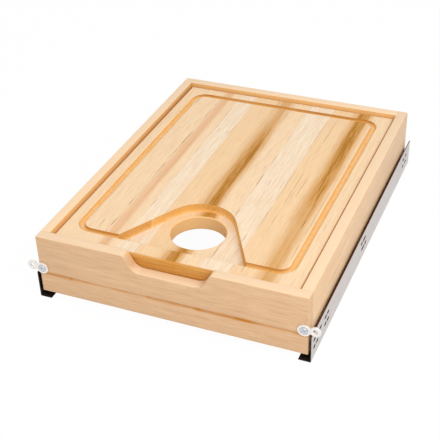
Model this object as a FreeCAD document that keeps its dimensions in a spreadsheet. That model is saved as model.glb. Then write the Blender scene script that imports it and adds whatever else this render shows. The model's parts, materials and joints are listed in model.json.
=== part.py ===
"""Pull-out cutting board drawer on two undermount slides.

Millimetres. +Z up, +X to the drawer's right, the drawer's front looks along -Y. The origin lies
on the floor plane below the middle of the whole part, where the slides' flanges rest.
"""
import FreeCAD
import Part
import Sketcher
import math
import os
import re

Vector = FreeCAD.Vector

# Driving dimensions: alias, value, meaning
DRIVING = [
    ("drawer_width", 407.6, "drawer box, outside"),
    ("drawer_depth", 533.4, "drawer box, front face to back face"),
    ("drawer_height", 95.4, "drawer box, bottom edge to rim"),
    ("wall", 15.9, "thickness of front, sides and back"),
    ("edge_round", 2.0, "round-over of the box's outer edges and of the scoop"),
    ("seam_rise", 33.2, "height of the front's lower board"),
    ("seam_ease", 0.8, "chamfer on both boards along the front's seam"),
    ("scoop_width", 130.0, "finger scoop, at the rim"),
    ("scoop_depth", 25.0, "finger scoop, below the rim"),
    ("scoop_slope", 60.0, "slope of the scoop's sides from level, degrees"),
    ("scoop_top_round", 8.0, "scoop, where its side meets the rim"),
    ("scoop_floor_round", 17.0, "scoop, where its side meets its floor"),
    ("board_recess", 5.0, "board's top below the rim"),
    ("board_thick", 35.6, "cutting board"),
    ("board_gap", 1.2, "play between the board and each wall"),
    ("board_round", 6.0, "round-over of the board's top edge"),
    ("board_under_ease", 1.0, "chamfer of the board's lower edge"),
    ("groove_radius", 5.0, "juice groove, round-bottomed section"),
    ("groove_depth", 4.6, "its bottom below the board's top"),
    ("groove_side", 25.4, "groove's centre line from the board's sides"),
    ("groove_back", 27.0, "groove's centre line from the board's back"),
    ("groove_front", 29.7, "groove's centre line from the board's front"),
    ("groove_corner", 20.0, "bend of the groove's centre line"),
    ("hole_radius", 41.1, "waste hole"),
    ("hole_setback", 94.2, "hole's centre behind the board's front edge"),
    ("hole_ease", 1.0, "chamfered rims of the waste hole"),
    ("bell_radius", 55.5, "round head of the sunk area round the hole"),
    ("bell_slope", 29.0, "splay of its two legs, degrees"),
    ("bell_front", 24.9, "its front wall behind the board's front edge"),
    ("bell_depth", 13.5, "its floor below the board's top"),
    ("bell_cove", 5.0, "cove between its wall and its floor"),
    ("bell_foot_round", 6.5, "round corners at its two feet"),
    ("cleat_size", 19.0, "board cleats, square section"),
    ("screw_shank", 2.0, "lock screws, radius of the shank"),
    ("screw_head", 4.0, "lock screws, radius of the pan head"),
    ("screw_head_tall", 2.2, "lock screws, height of the pan head"),
    ("screw_sink", 1.4, "lock screws, how far the head sits in the housing"),
    ("screw_grip", 10.0, "lock screws, reach into the bearer strip"),
    ("bearer_width", 70.0, "bearer strip above each slide, outside its dado"),
    ("bearer_thick", 12.7, "bearer strip"),
    ("bearer_lift", 12.7, "bearer's underside above the drawer's bottom edge"),
    ("dado_depth", 6.0, "bearer's seat in the drawer side"),
    ("dowel_radius", 4.0, "corner dowels"),
    ("dowel_drop", 18.0, "upper corner dowels below the rim"),
    ("dowel_in_wall", 9.0, "dowel's depth in the face of a board"),
    ("dowel_in_end", 20.0, "dowel's depth in the end of a board"),
    ("slide_lead", 1.0, "cabinet rail's front end ahead of the drawer's face"),
    ("slide_tail", 1.2, "cabinet rail's rear end behind its buffer"),
    ("buffer_length", 12.0, "rubber buffer at the cabinet rail's rear end"),
    ("buffer_inset", 3.0, "buffer from both edges of the tongue"),
    ("rail_sheet", 1.5, "cabinet rail, sheet steel"),
    ("thin_sheet", 1.2, "intermediate and drawer rails, sheet steel"),
    ("bend_round", 1.2, "outer radius of the bends"),
    ("plate_tall", 43.5, "cabinet rail's upright plate"),
    ("plate_gap", 3.0, "play between the drawer side and the plate"),
    ("rail_drop", 11.6, "drawer's bottom edge above the rail's underside"),
    ("flange_width", 18.0, "level flange from the plate's outer face to the riser"),
    ("riser_gap", 0.8, "play between the drawer rail and the drawer side"),
    ("leg_gap", 1.4, "play between the intermediate rail and the drawer rail"),
    ("leg_reach", 30.3, "free width of the intermediate rail's legs"),
    ("tip_gap", 2.8, "tongue's tip to the intermediate rail's web"),
    ("mid_lift", 1.0, "intermediate rail's underside above the floor plane"),
    ("roller_radius", 1.6, "needle rollers"),
    ("roller_gap", 0.06, "play of a roller against each track"),
    ("roller_length", 12.0, "needle rollers"),
    ("cage_length", 220.0, "roller cages"),
    ("cage_setback", 165.0, "roller cages behind the drawer's face, drawer shut"),
    ("cage_sheet", 1.6, "arms of the roller cages"),
    ("cage_play", 0.15, "play of a roller in its window"),
    ("run_gap", 2.1, "moving rails behind the front's inner face"),
    ("hook_reach", 5.1, "drawer rail's end behind the drawer's back"),
    ("hook_radius", 2.9, "hook pin at the drawer rail's rear end"),
    ("hook_play", 0.1, "play of the hook pin in its hole"),
    ("hook_lift", 7.5, "hook pin's axis above the drawer rail"),
    ("hook_depth", 9.0, "hook pin's depth in the drawer's back"),
    ("notch_gap", 0.7, "play round the rails in the back's notches"),
    ("stop_gap", 0.3, "drawer rail's end to the rear buffer"),
    ("drawer_travel", 525.0, "how far the drawer pulls out"),
    ("slot_tall", 4.6, "fixing slots in the plate"),
    ("slot_length", 9.5, "fixing slots in the plate"),
    ("slot_long", 15.0, "the long slots of the plate"),
    ("slot_row_low", 17.7, "lower row of slots above the floor plane"),
    ("slot_row_high", 30.0, "upper row of slots above the floor plane"),
    ("slot_first", 14.0, "first column of slots from the plate's front end"),
    ("slot_second", 26.5, "second column"),
    ("slot_third", 40.5, "third column"),
    ("slot_fourth", 63.5, "fourth column"),
    ("slot_fifth", 75.0, "fifth column"),
    ("slot_middle", 15.5, "middle group's long upper slot ahead of the rail's middle"),
    ("slot_bridge", 2.5, "metal between two slots of a row in the middle group"),
    ("slot_rear", 28.0, "rear group's rear column from the rear end"),
    ("slot_rear_step", 16.0, "rear group's front column ahead of it"),
    ("eye_large", 9.2, "figure-of-eight plate, radius of the screwed eye"),
    ("eye_small", 7.7, "figure-of-eight plate, radius of the free eye"),
    ("eye_pitch", 15.8, "figure-of-eight plate, between its two eyes"),
    ("eye_sheet", 2.5, "figure-of-eight plate"),
    ("eye_waist", 9.0, "width between the two eyes"),
    ("eye_free_hole", 3.2, "radius of the hole in the free eye"),
    ("eye_sink_radius", 6.0, "sinking round the screw's head"),
    ("eye_sink_depth", 1.3, "sinking round the screw's head"),
    ("eye_inset", 6.0, "screwed eye's centre from the drawer's side face"),
    ("eye_height", 42.0, "eyes' centre above the drawer's bottom edge"),
    ("eye_tilt_left", 9.0, "slant of the left plate, degrees"),
    ("eye_tilt_right", 6.0, "slant of the right plate, degrees"),
    ("eye_screw_head", 4.9, "radius of its pan head"),
    ("eye_screw_tall", 2.0, "height of its pan head"),
    ("eye_screw_shank", 2.2, "radius of its shank"),
    ("eye_screw_length", 12.0, "its depth in the front board"),
    ("lock_width", 28.0, "lock housing"),
    ("lock_depth", 36.0, "lock housing, front to back"),
    ("lock_tall", 12.0, "lock housing"),
    ("lock_setback", 24.0, "lock housing behind the front's inner face"),
    ("lock_gap", 4.0, "lock housing to the intermediate rail"),
    ("lever_sheet", 3.0, "lock lever"),
    ("lever_play", 0.3, "lock lever to its neighbours above and below"),
    ("pivot_radius", 2.5, "boss that the lock lever turns on"),
    ("pivot_play", 0.05, "lever's hole round the boss"),
    ("pivot_setback", 34.0, "boss behind the front's inner face"),
    ("lever_wide", 8.0, "arm of the lock lever"),
    ("lever_eye", 5.5, "radius of the lever's eye"),
    ("nose_wide", 6.0, "lever's nose, along the rail"),
    ("nose_setback", 14.5, "lever's nose behind the front's inner face"),
    ("nose_gap", 0.5, "nose to the intermediate rail's web"),
    ("lever_swing", 12.0, "how far a lock lever turns, degrees"),
    ("finger_tall", 15.0, "finger tab of the lock lever"),
    ("finger_sheet", 5.0, "finger tab of the lock lever"),
]

# Worked-out sizes and places: name, formula
WORKED = [
    ("half_width", "drawer_width / 2"),
    ("inner_half", "half_width - wall"),
    ("head_out", "eye_sheet - eye_sink_depth + eye_screw_tall"),
    ("slide_length", "slide_lead + drawer_depth + hook_reach + stop_gap + buffer_length"
                     " + slide_tail"),
    ("slot_pitch", "(slot_long + slot_length) / 2 + slot_bridge"),
    ("middle_group", "slide_length / 2 - slot_middle"),
    ("face_y", "(head_out + slide_lead - slide_length) / 2"),
    ("back_y", "face_y + drawer_depth"),
    ("front_in", "face_y + wall"),
    ("back_in", "back_y - wall"),
    ("rail_front", "face_y - slide_lead"),
    ("rail_rear", "rail_front + slide_length"),
    ("box_low", "rail_drop"),
    ("rim", "box_low + drawer_height"),
    ("seam", "box_low + seam_rise"),
    ("scoop_floor", "rim - scoop_depth"),
    ("scoop_half", "scoop_width / 2"),
    ("scoop_floor_half", "scoop_half - scoop_corner_run"),
    ("scoop_corner_run", "scoop_depth / tan(scoop_slope)"),
    ("board_top", "rim - board_recess"),
    ("board_low", "board_top - board_thick"),
    ("board_half", "inner_half - board_gap"),
    ("board_front", "front_in + board_gap"),
    ("board_back", "back_in - board_gap"),
    ("groove_half", "board_half - groove_side"),
    ("groove_axis_z", "board_top - groove_depth + groove_radius"),
    ("groove_low_y", "board_front + groove_front"),
    ("groove_high_y", "board_back - groove_back"),
    ("hole_y", "board_front + hole_setback"),
    ("bell_low_y", "board_front + bell_front"),
    ("bell_peak_y", "hole_y + bell_radius / sin(bell_slope)"),
    ("bell_foot", "(bell_peak_y - bell_low_y) * tan(bell_slope)"),
    ("bell_floor", "board_top - bell_depth"),
    ("cleat_low", "board_low - cleat_size"),
    ("cleat_inner", "inner_half - cleat_size"),
    ("bearer_low", "box_low + bearer_lift"),
    ("bearer_top", "bearer_low + bearer_thick"),
    ("bearer_in", "inner_half - bearer_width"),
    ("plate_out", "half_width + plate_gap + rail_sheet"),
    ("plate_in", "plate_out - rail_sheet"),
    ("riser_out", "plate_out - flange_width"),
    ("riser_in", "riser_out - rail_sheet"),
    ("hang_out", "inner_half - riser_gap"),
    ("hang_in", "hang_out - thin_sheet"),
    ("mid_tip", "hang_in - leg_gap"),
    ("web_out", "mid_tip - leg_reach"),
    ("web_in", "web_out - thin_sheet"),
    ("tongue_tip", "web_out + tip_gap"),
    ("track_gap", "2 * (roller_radius + roller_gap)"),
    ("mid_floor", "mid_lift + thin_sheet"),
    ("cab_tongue_low", "mid_floor + track_gap"),
    ("cab_tongue_top", "cab_tongue_low + rail_sheet"),
    ("mid_shelf_low", "cab_tongue_top + track_gap"),
    ("mid_shelf_top", "mid_shelf_low + 2 * thin_sheet"),
    ("hang_tongue_low", "mid_shelf_top + track_gap"),
    ("hang_tongue_top", "hang_tongue_low + thin_sheet"),
    ("mid_roof_low", "hang_tongue_top + track_gap"),
    ("mid_roof_top", "mid_roof_low + thin_sheet"),
    ("hang_roof_low", "bearer_low - thin_sheet"),
    ("moving_front", "front_in + run_gap"),
    ("hang_rear", "back_y + hook_reach"),
    ("hang_edge", "web_in - 3"),
    ("hook_z", "bearer_low + hook_lift"),
    ("cage_front", "face_y + cage_setback"),
    ("cage_out", "mid_tip - 8"),
    ("cage_web_in", "web_out + (tip_gap - thin_sheet) / 2"),
    ("roller_in", "cage_web_in + 5"),
    ("roller_pitch", "cage_length / 2"),
    ("notch_in", "web_in - 6"),
    ("notch_top", "bearer_low + notch_gap"),
    ("eye_x", "half_width - eye_inset"),
    ("eye_z", "box_low + eye_height"),
    ("lock_out", "web_in - lock_gap"),
    ("lock_in", "lock_out - lock_width"),
    ("lock_low", "bearer_low - lock_tall"),
    ("lock_front", "front_in + lock_setback"),
    ("lever_top", "bearer_low - lever_play"),
    ("lever_low", "lever_top - lever_sheet"),
    ("pivot_y", "front_in + pivot_setback"),
    ("pivot_x", "lock_in + lever_eye + 5.5"),
    ("nose_y", "front_in + nose_setback"),
    ("nose_tip", "web_in - nose_gap"),
]

doc = FreeCAD.newDocument("cutting_board_drawer")
dims = doc.addObject("Spreadsheet::Sheet", "dims")
for line, (alias, number, meaning) in enumerate(DRIVING, start=1):
    dims.set("A%d" % line, alias)
    dims.set("B%d" % line, str(number))
    dims.setAlias("B%d" % line, alias)
    dims.set("C%d" % line, meaning)
doc.recompute()

worked = doc.addObject("App::FeaturePython", "worked")
OWNER = {alias: "dims" for alias, number, meaning in DRIVING}
OWNER.update({name: "worked" for name, formula in WORKED})


def spelled(formula):
    """A formula in plain names, with each name spelled out for the document."""
    def owned(match):
        word = match.group(0)
        return "%s.%s" % (OWNER[word], word) if word in OWNER else word
    return re.sub(r"[A-Za-z_]\w*", owned, str(formula))


def bind(item, name, formula):
    item.setExpression(name, spelled(formula))


for name, formula in WORKED:
    worked.addProperty("App::PropertyFloat", name)
for name, formula in WORKED:
    bind(worked, name, formula)
doc.recompute()


def size(name):
    """The present number of a driving or worked-out size."""
    return getattr(dims if OWNER[name] == "dims" else worked, name)


def place(item, x=None, y=None, z=None):
    for axis, formula in (("x", x), ("y", y), ("z", z)):
        if formula is not None:
            bind(item, "Placement.Base." + axis, formula)


def new_body(label):
    body = doc.addObject("PartDesign::Body", label)
    body.Label = label
    return body


def new_sketch(body, role):
    sketch = body.newObject("Sketcher::SketchObject", body.Label + "_sketch")
    plane = [item for item in body.Origin.OriginFeatures if item.Role == role][0]
    sketch.AttachmentSupport = [(plane, "")]
    sketch.MapMode = "FlatFace"
    return sketch


def pin_point(sketch, geometry, point, across, upward):
    """Ties one point of a sketch to its two formulas."""
    number = sketch.addConstraint(Sketcher.Constraint("DistanceX", -1, 1, geometry, point, 1.0))
    bind(sketch, "Constraints[%d]" % number, across)
    number = sketch.addConstraint(Sketcher.Constraint("DistanceY", -1, 1, geometry, point, 1.0))
    bind(sketch, "Constraints[%d]" % number, upward)


def draw_outline(sketch, corners):
    """A closed outline of straight lines through corners given as pairs of formulas."""
    count = len(corners)
    first = sketch.GeometryCount
    for number in range(count):
        turn = 2 * math.pi * number / count
        onward = 2 * math.pi * (number + 1) / count
        start = Vector(50 * math.cos(turn), 50 * math.sin(turn), 0)
        end = Vector(50 * math.cos(onward), 50 * math.sin(onward), 0)
        sketch.addGeometry(Part.LineSegment(start, end), False)
    for number in range(count):
        following = first + (number + 1) % count
        sketch.addConstraint(Sketcher.Constraint("Coincident", first + number, 2, following, 1))
    for number, (across, upward) in enumerate(corners):
        pin_point(sketch, first + number, 1, across, upward)


def draw_circle(sketch, across, upward, radius):
    number = sketch.addGeometry(Part.Circle(Vector(0, 0, 0), Vector(0, 0, 1), 5.0), False)
    pin_point(sketch, number, 3, across, upward)
    datum = sketch.addConstraint(Sketcher.Constraint("Radius", number, 5.0))
    bind(sketch, "Constraints[%d]" % datum, radius)


def pad(body, sketch, length, backward=False):
    feature = body.newObject("PartDesign::Pad", body.Label + "_pad")
    feature.Profile = sketch
    feature.Reversed = backward
    bind(feature, "Length", length)
    body.Tip = feature
    doc.recompute()
    return feature


def pocket(body, sketch, depth=None, backward=False):
    """A pocket of the given depth, or right through both ways, that must cut something."""
    before = body.Shape.Volume
    feature = body.newObject("PartDesign::Pocket", body.Label + "_pocket")
    feature.Profile = sketch
    feature.Reversed = backward
    if depth is None:
        feature.Type = 1
        feature.Midplane = True
    else:
        bind(feature, "Length", depth)
    body.Tip = feature
    doc.recompute()
    if body.Shape.Volume > before - 0.01:
        raise RuntimeError("a pocket of %s cuts nothing" % body.Label)
    return feature


def dress(body, kind, amount, wanted):
    """A fillet or chamfer on the edges of the body's last feature that the test picks."""
    base = body.Tip
    names = ["Edge%d" % number for number, edge in enumerate(base.Shape.Edges, start=1)
             if wanted(edge)]
    if not names:
        raise RuntimeError("no edge to dress on %s" % body.Label)
    feature = body.newObject("PartDesign::" + kind, body.Label + "_" + kind.lower())
    feature.Base = (base, names)
    bind(feature, "Radius" if kind == "Fillet" else "Size", amount)
    body.Tip = feature
    doc.recompute()
    if "Invalid" in feature.State or feature.Shape.isNull():
        raise RuntimeError("%s of %s on %s fails" % (kind, amount, body.Label))
    return feature


def ends(edge):
    return [vertex.Point for vertex in edge.Vertexes]


def middle(edge):
    return edge.valueAt((edge.FirstParameter + edge.LastParameter) / 2)


def runs_along(edge, axis):
    """True for a straight edge along X, Y or Z, given as 0, 1 or 2."""
    if edge.Curve.TypeId != "Part::GeomLine":
        return False
    first, last = ends(edge)
    gap = last - first
    return abs(gap[axis]) > 0.999 * gap.Length


def near(one, other, play=0.01):
    return abs(one - other) < play


def prism(label, role, corners, length, x=None, y=None, z=None):
    """A straight extrusion of one outline: along +Y from the XZ plane, +Z from XY, +X from YZ."""
    body = new_body(label)
    sketch = new_sketch(body, role)
    draw_outline(sketch, corners)
    pad(body, sketch, length, backward=(role == "XZ_Plane"))
    place(body, x, y, z)
    doc.recompute()
    return body


def block(label, length, width, height, x, y, z):
    item = doc.addObject("Part::Box", label)
    bind(item, "Length", length)
    bind(item, "Width", width)
    bind(item, "Height", height)
    place(item, x, y, z)
    return item


TURNED = {
    "X": FreeCAD.Rotation(Vector(0, 1, 0), 90),
    "Y": FreeCAD.Rotation(Vector(1, 0, 0), -90),
    "Z": FreeCAD.Rotation(),
    "-X": FreeCAD.Rotation(Vector(0, 1, 0), -90),
    "-Y": FreeCAD.Rotation(Vector(1, 0, 0), 90),
    "-Z": FreeCAD.Rotation(Vector(1, 0, 0), 180),
}


def rod(label, radius, length, x, y, z, toward):
    """A cylinder that starts at the given place and runs toward one axis."""
    item = doc.addObject("Part::Cylinder", label)
    bind(item, "Radius", radius)
    bind(item, "Height", length)
    item.Placement = FreeCAD.Placement(Vector(0, 0, 0), TURNED[toward])
    place(item, x, y, z)
    return item


def slot_pieces(label, x, y, z, length):
    """A level slot along Y, as a box with a rod at each end, through a plate that faces X."""
    run = "(%s - slot_tall)" % length
    core = block(label + "_core", "2 * rail_sheet", run, "slot_tall",
                 x, "%s - %s / 2" % (y, run), "%s - slot_tall / 2" % z)
    near_end = rod(label + "_near", "slot_tall / 2", "2 * rail_sheet",
                   x, "%s - %s / 2" % (y, run), z, "X")
    far_end = rod(label + "_far", "slot_tall / 2", "2 * rail_sheet",
                  x, "%s + %s / 2" % (y, run), z, "X")
    return [core, near_end, far_end]


def joined(label, pieces):
    item = doc.addObject("Part::MultiFuse", label)
    item.Shapes = pieces
    item.Refine = True
    return item


def grouped(label, pieces):
    item = doc.addObject("Part::Compound", label)
    item.Links = pieces
    return item


def cut(label, base, tool):
    item = doc.addObject("Part::Cut", label)
    item.Base = base
    item.Tool = tool
    item.Refine = True
    return item


def mirrored(label, source):
    """The same piece on the drawer's other side."""
    item = doc.addObject("Part::Mirroring", label)
    item.Source = source
    item.Normal = Vector(1, 0, 0)
    return item


kept = []


def keep(item, node):
    """Marks an object as one finished piece, or one group of like pieces, of the part."""
    item.Label = node
    kept.append(item)
    return item


def make_dowels():
    """Glued dowels: the front's into the side's ends, the back's ends into the sides."""
    rods = []
    length = "dowel_in_wall + dowel_in_end"
    front_heights = ("box_low + bearer_lift / 2", "rim - dowel_drop")
    back_heights = ("bearer_top + 8", "rim - dowel_drop")
    for side, sign in (("left", "-1"), ("right", "1")):
        for number, height in enumerate(front_heights):
            rods.append(rod("dowel_front_%s_%d" % (side, number), "dowel_radius", length,
                            "%s * (half_width - wall / 2)" % sign,
                            "front_in - dowel_in_wall", height, "Y"))
        for number, height in enumerate(back_heights):
            rods.append(rod("dowel_back_%s_%d" % (side, number), "dowel_radius", length,
                            "%s * (inner_half + dowel_in_wall)" % sign,
                            "back_in + wall / 2", height, "X" if side == "left" else "-X"))
    return grouped("corner_dowels", rods)


def make_eye_screws():
    """Pan-head screws of the two figure-of-eight plates, with a cross recess."""
    screws = []
    for side, sign in (("left", "-1"), ("right", "1")):
        x = "%s * eye_x" % sign
        seat = "face_y - eye_sheet + eye_sink_depth"
        head = rod("eye_head_" + side, "eye_screw_head", "eye_screw_tall", x, seat, "eye_z", "-Y")
        shank = rod("eye_shank_" + side, "eye_screw_shank",
                    "eye_screw_length + eye_sheet - eye_sink_depth", x, seat, "eye_z", "Y")
        level = block("eye_cross_level_" + side, "eye_screw_head", "eye_screw_tall / 2", "1.1",
                      "%s - eye_screw_head / 2" % x, "face_y - head_out", "eye_z - 0.55")
        upright = block("eye_cross_upright_" + side, "1.1", "eye_screw_tall / 2",
                        "eye_screw_head", "%s - 0.55" % x, "face_y - head_out",
                        "eye_z - eye_screw_head / 2")
        whole = joined("eye_screw_whole_" + side, [head, shank])
        cross = joined("eye_cross_" + side, [level, upright])
        screws.append(cut("eye_screw_" + side, whole, cross))
    return grouped("eye_screws", screws)


def make_front(dowels, eye_screws):
    """The front is two edge-glued boards. The upper one has the finger scoop."""
    upper = prism("front_upper_blank", "XZ_Plane", [
        ("-half_width", "seam"), ("half_width", "seam"), ("half_width", "rim"),
        ("scoop_half", "rim"), ("scoop_floor_half", "scoop_floor"),
        ("-scoop_floor_half", "scoop_floor"), ("-scoop_half", "rim"), ("-half_width", "rim"),
    ], "wall", y="face_y")
    rim = size("rim")
    floor = size("scoop_floor")
    half = size("half_width")
    dress(upper, "Fillet", "scoop_floor_round",
          lambda edge: runs_along(edge, 1) and near(middle(edge).z, floor))
    dress(upper, "Fillet", "scoop_top_round",
          lambda edge: runs_along(edge, 1) and near(middle(edge).z, rim)
          and near(abs(middle(edge).x), size("scoop_half")))
    dress(upper, "Fillet", "edge_round",
          lambda edge: near(middle(edge).y, 0) and runs_along(edge, 2)
          or near(middle(edge).z, rim) and near(middle(edge).y, 0) and runs_along(edge, 0)
          or near(middle(edge).z, rim) and near(abs(middle(edge).x), half)
          and runs_along(edge, 1))
    dress(upper, "Chamfer", "seam_ease",
          lambda edge: near(middle(edge).y, 0) and near(middle(edge).z, size("seam"))
          and runs_along(edge, 0))
    lower = prism("front_lower_blank", "XZ_Plane", [
        ("-half_width", "box_low"), ("half_width", "box_low"),
        ("half_width", "seam"), ("-half_width", "seam"),
    ], "wall", y="face_y")
    dress(lower, "Fillet", "edge_round",
          lambda edge: near(middle(edge).y, 0) and runs_along(edge, 2))
    dress(lower, "Chamfer", "seam_ease",
          lambda edge: near(middle(edge).y, 0) and near(middle(edge).z, size("seam"))
          and runs_along(edge, 0))
    fixings = grouped("front_fixings", [dowels, eye_screws])
    keep(cut("front_upper", upper, fixings), "front_upper_board")
    keep(cut("front_lower", lower, fixings), "front_lower_board")


def make_sides(dowels):
    """Each side runs from behind the front to the drawer's back face, with a dado inside."""
    for side, sign in (("left", "-"), ("right", "")):
        corners = [("inner_half", "box_low"), ("half_width", "box_low"), ("half_width", "rim"),
                   ("inner_half", "rim"), ("inner_half", "bearer_top"),
                   ("inner_half + dado_depth", "bearer_top"),
                   ("inner_half + dado_depth", "bearer_low"), ("inner_half", "bearer_low")]
        outline = [(sign + "(" + across + ")", upward) for across, upward in corners]
        body = prism("side_%s_blank" % side, "XZ_Plane", outline, "drawer_depth - wall",
                     y="front_in")
        dress(body, "Fillet", "edge_round",
              lambda edge: runs_along(edge, 1) and near(middle(edge).z, size("rim"))
              and near(abs(middle(edge).x), size("half_width")))
        keep(cut("side_" + side, body, dowels), "drawer_side_" + side)


def make_back(dowels):
    """The back stands between the sides, notched for the rails and bored for their hooks."""
    body = prism("back_blank", "XZ_Plane", [
        ("-notch_in", "box_low"), ("notch_in", "box_low"), ("notch_in", "notch_top"),
        ("inner_half", "notch_top"), ("inner_half", "rim"), ("-inner_half", "rim"),
        ("-inner_half", "notch_top"), ("-notch_in", "notch_top"),
    ], "wall", y="back_in")
    bores = []
    for side, sign in (("left", "-1"), ("right", "1")):
        bores.append(rod("hook_bore_" + side, "hook_radius + hook_play", "hook_depth + 1",
                         "%s * (web_out + mid_tip) / 2" % sign, "back_y", "hook_z", "-Y"))
    tools = grouped("back_fixings", bores + [dowels])
    keep(cut("back", body, tools), "drawer_back")


def make_bearers(screw):
    """Bearer strips, let into the sides, carry the drawer on its two drawer rails."""
    right = block("bearer_blank", "bearer_width + dado_depth", "back_in - front_in",
                  "bearer_thick", "bearer_in", "front_in", "bearer_low")
    bored = cut("bearer_bored", right, screw)
    keep(bored, "bearer_strip_right")
    keep(mirrored("bearer_mirror", bored), "bearer_strip_left")


def make_cleats():
    """A ledge of four square cleats, glued to the walls, carries the board."""
    long_one = "back_in - front_in"
    keep(block("cleat_right", "cleat_size", long_one, "cleat_size",
               "cleat_inner", "front_in", "cleat_low"), "board_cleat_right")
    keep(block("cleat_left", "cleat_size", long_one, "cleat_size",
               "-inner_half", "front_in", "cleat_low"), "board_cleat_left")
    keep(block("cleat_front", "2 * cleat_inner", "cleat_size", "cleat_size",
               "-cleat_inner", "front_in", "cleat_low"), "board_cleat_front")
    keep(block("cleat_back", "2 * cleat_inner", "cleat_size", "cleat_size",
               "-cleat_inner", "back_in - cleat_size", "cleat_low"), "board_cleat_back")


def make_board():
    """The board: round-over, juice groove, sunk bell-shaped area and waste hole."""
    body = prism("cutting_board_body", "XY_Plane", [
        ("-board_half", "board_front"), ("board_half", "board_front"),
        ("board_half", "board_back"), ("-board_half", "board_back"),
    ], "board_thick", z="board_low")
    top = size("board_thick")
    dress(body, "Fillet", "board_round", lambda edge: near(middle(edge).z, top))
    dress(body, "Chamfer", "board_under_ease", lambda edge: near(middle(edge).z, 0))
    bell = new_sketch(body, "XY_Plane")
    bell.setExpression("AttachmentOffset.Base.z", spelled("board_thick"))
    draw_outline(bell, [("-bell_foot", "bell_low_y"), ("bell_foot", "bell_low_y"),
                        ("0", "bell_peak_y")])
    doc.recompute()
    pocket(body, bell, "bell_depth")
    peak = size("bell_peak_y")
    low = size("bell_low_y")
    dress(body, "Fillet", "bell_radius",
          lambda edge: runs_along(edge, 2) and near(middle(edge).y, peak))
    dress(body, "Fillet", "bell_foot_round",
          lambda edge: runs_along(edge, 2) and near(middle(edge).y, low))
    floor = top - size("bell_depth")
    dress(body, "Fillet", "bell_cove", lambda edge: near(middle(edge).z, floor))
    hole = new_sketch(body, "XY_Plane")
    draw_circle(hole, "0", "hole_y", "hole_radius")
    doc.recompute()
    pocket(body, hole)
    dress(body, "Chamfer", "hole_ease",
          lambda edge: edge.Curve.TypeId == "Part::GeomCircle"
          and near(edge.Curve.Radius, size("hole_radius"))
          and (near(middle(edge).z, floor) or near(middle(edge).z, 0)))
    runs, bends = make_groove()
    keep(cut("board_runs", cut("board_bends", body, bends), runs), "cutting_board")


def make_groove():
    """What the juice groove takes away: straight rods, and quarter rings for its bends."""
    runs = []
    bends = []
    run_x = "2 * (groove_half - groove_corner)"
    run_y = "groove_high_y - groove_low_y - 2 * groove_corner"
    for side, sign in (("left", "-1"), ("right", "1")):
        runs.append(rod("groove_" + side, "groove_radius", run_y, "%s * groove_half" % sign,
                        "groove_low_y + groove_corner", "groove_axis_z", "Y"))
    for side, place_y in (("front", "groove_low_y"), ("back", "groove_high_y")):
        runs.append(rod("groove_" + side, "groove_radius", run_x,
                        "-(groove_half - groove_corner)", place_y, "groove_axis_z", "X"))
    for name, turn, across, along in (
            ("back_right", 0, "groove_half - groove_corner", "groove_high_y - groove_corner"),
            ("back_left", 90, "groove_corner - groove_half", "groove_high_y - groove_corner"),
            ("front_left", 180, "groove_corner - groove_half", "groove_low_y + groove_corner"),
            ("front_right", 270, "groove_half - groove_corner", "groove_low_y + groove_corner")):
        ring = doc.addObject("Part::Torus", "groove_bend_" + name)
        bind(ring, "Radius1", "groove_corner")
        bind(ring, "Radius2", "groove_radius")
        ring.Angle3 = 90
        ring.Placement = FreeCAD.Placement(Vector(0, 0, 0),
                                           FreeCAD.Rotation(Vector(0, 0, 1), turn))
        place(ring, across, along, "groove_axis_z")
        bends.append(ring)
    return grouped("groove_runs", runs), grouped("groove_bends", bends)


def make_cabinet_rail():
    """The fixed rail: upright plate with fixing slots, level flange, riser and tongue."""
    body = prism("cabinet_rail_blank", "XZ_Plane", [
        ("plate_out", "0"), ("plate_out", "plate_tall"), ("plate_in", "plate_tall"),
        ("plate_in", "rail_sheet"), ("riser_out", "rail_sheet"),
        ("riser_out", "cab_tongue_top"), ("tongue_tip", "cab_tongue_top"),
        ("tongue_tip", "cab_tongue_low"), ("riser_in", "cab_tongue_low"), ("riser_in", "0"),
    ], "slide_length", y="rail_front")
    dress(body, "Fillet", "bend_round",
          lambda edge: runs_along(edge, 1)
          and ((near(middle(edge).z, 0) and near(middle(edge).x, size("plate_out")))
               or (near(middle(edge).z, 0) and near(middle(edge).x, size("riser_in")))
               or (near(middle(edge).z, size("cab_tongue_top"))
                   and near(middle(edge).x, size("riser_out")))))
    slots = []
    for column, row, length in (
            ("slot_first", "slot_row_high", "slot_length"),
            ("slot_first", "slot_row_low", "slot_length"),
            ("slot_second", "slot_row_low", "slot_length"),
            ("slot_third", "slot_row_high", "slot_length"),
            ("slot_fourth", "slot_row_high", "slot_length"),
            ("slot_fourth", "slot_row_low", "slot_length"),
            ("slot_fifth", "slot_row_high", "slot_length"),
            ("slot_fifth", "slot_row_low", "slot_length"),
            ("middle_group", "slot_row_high", "slot_long"),
            ("middle_group - slot_pitch", "slot_row_high", "slot_length"),
            ("middle_group + slot_pitch / 2", "slot_row_low", "slot_length"),
            ("middle_group - slot_pitch / 2", "slot_row_low", "slot_long"),
            ("slide_length - slot_rear", "slot_row_high", "slot_length"),
            ("slide_length - slot_rear", "slot_row_low", "slot_length"),
            ("slide_length - slot_rear - slot_rear_step", "slot_row_high", "slot_length"),
            ("slide_length - slot_rear - slot_rear_step", "slot_row_low", "slot_length")):
        slots += slot_pieces("slot_%d" % len(slots), "plate_in - rail_sheet / 2",
                             "rail_front + " + column, row, length)
    step = block("cabinet_rail_step", "riser_out - tongue_tip + 2", "wall + slide_lead + run_gap",
                 "cab_tongue_top + 2", "tongue_tip - 2", "rail_front", "-1")
    return cut("cabinet_rail", body, joined("cabinet_rail_openings", slots + [step]))


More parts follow.
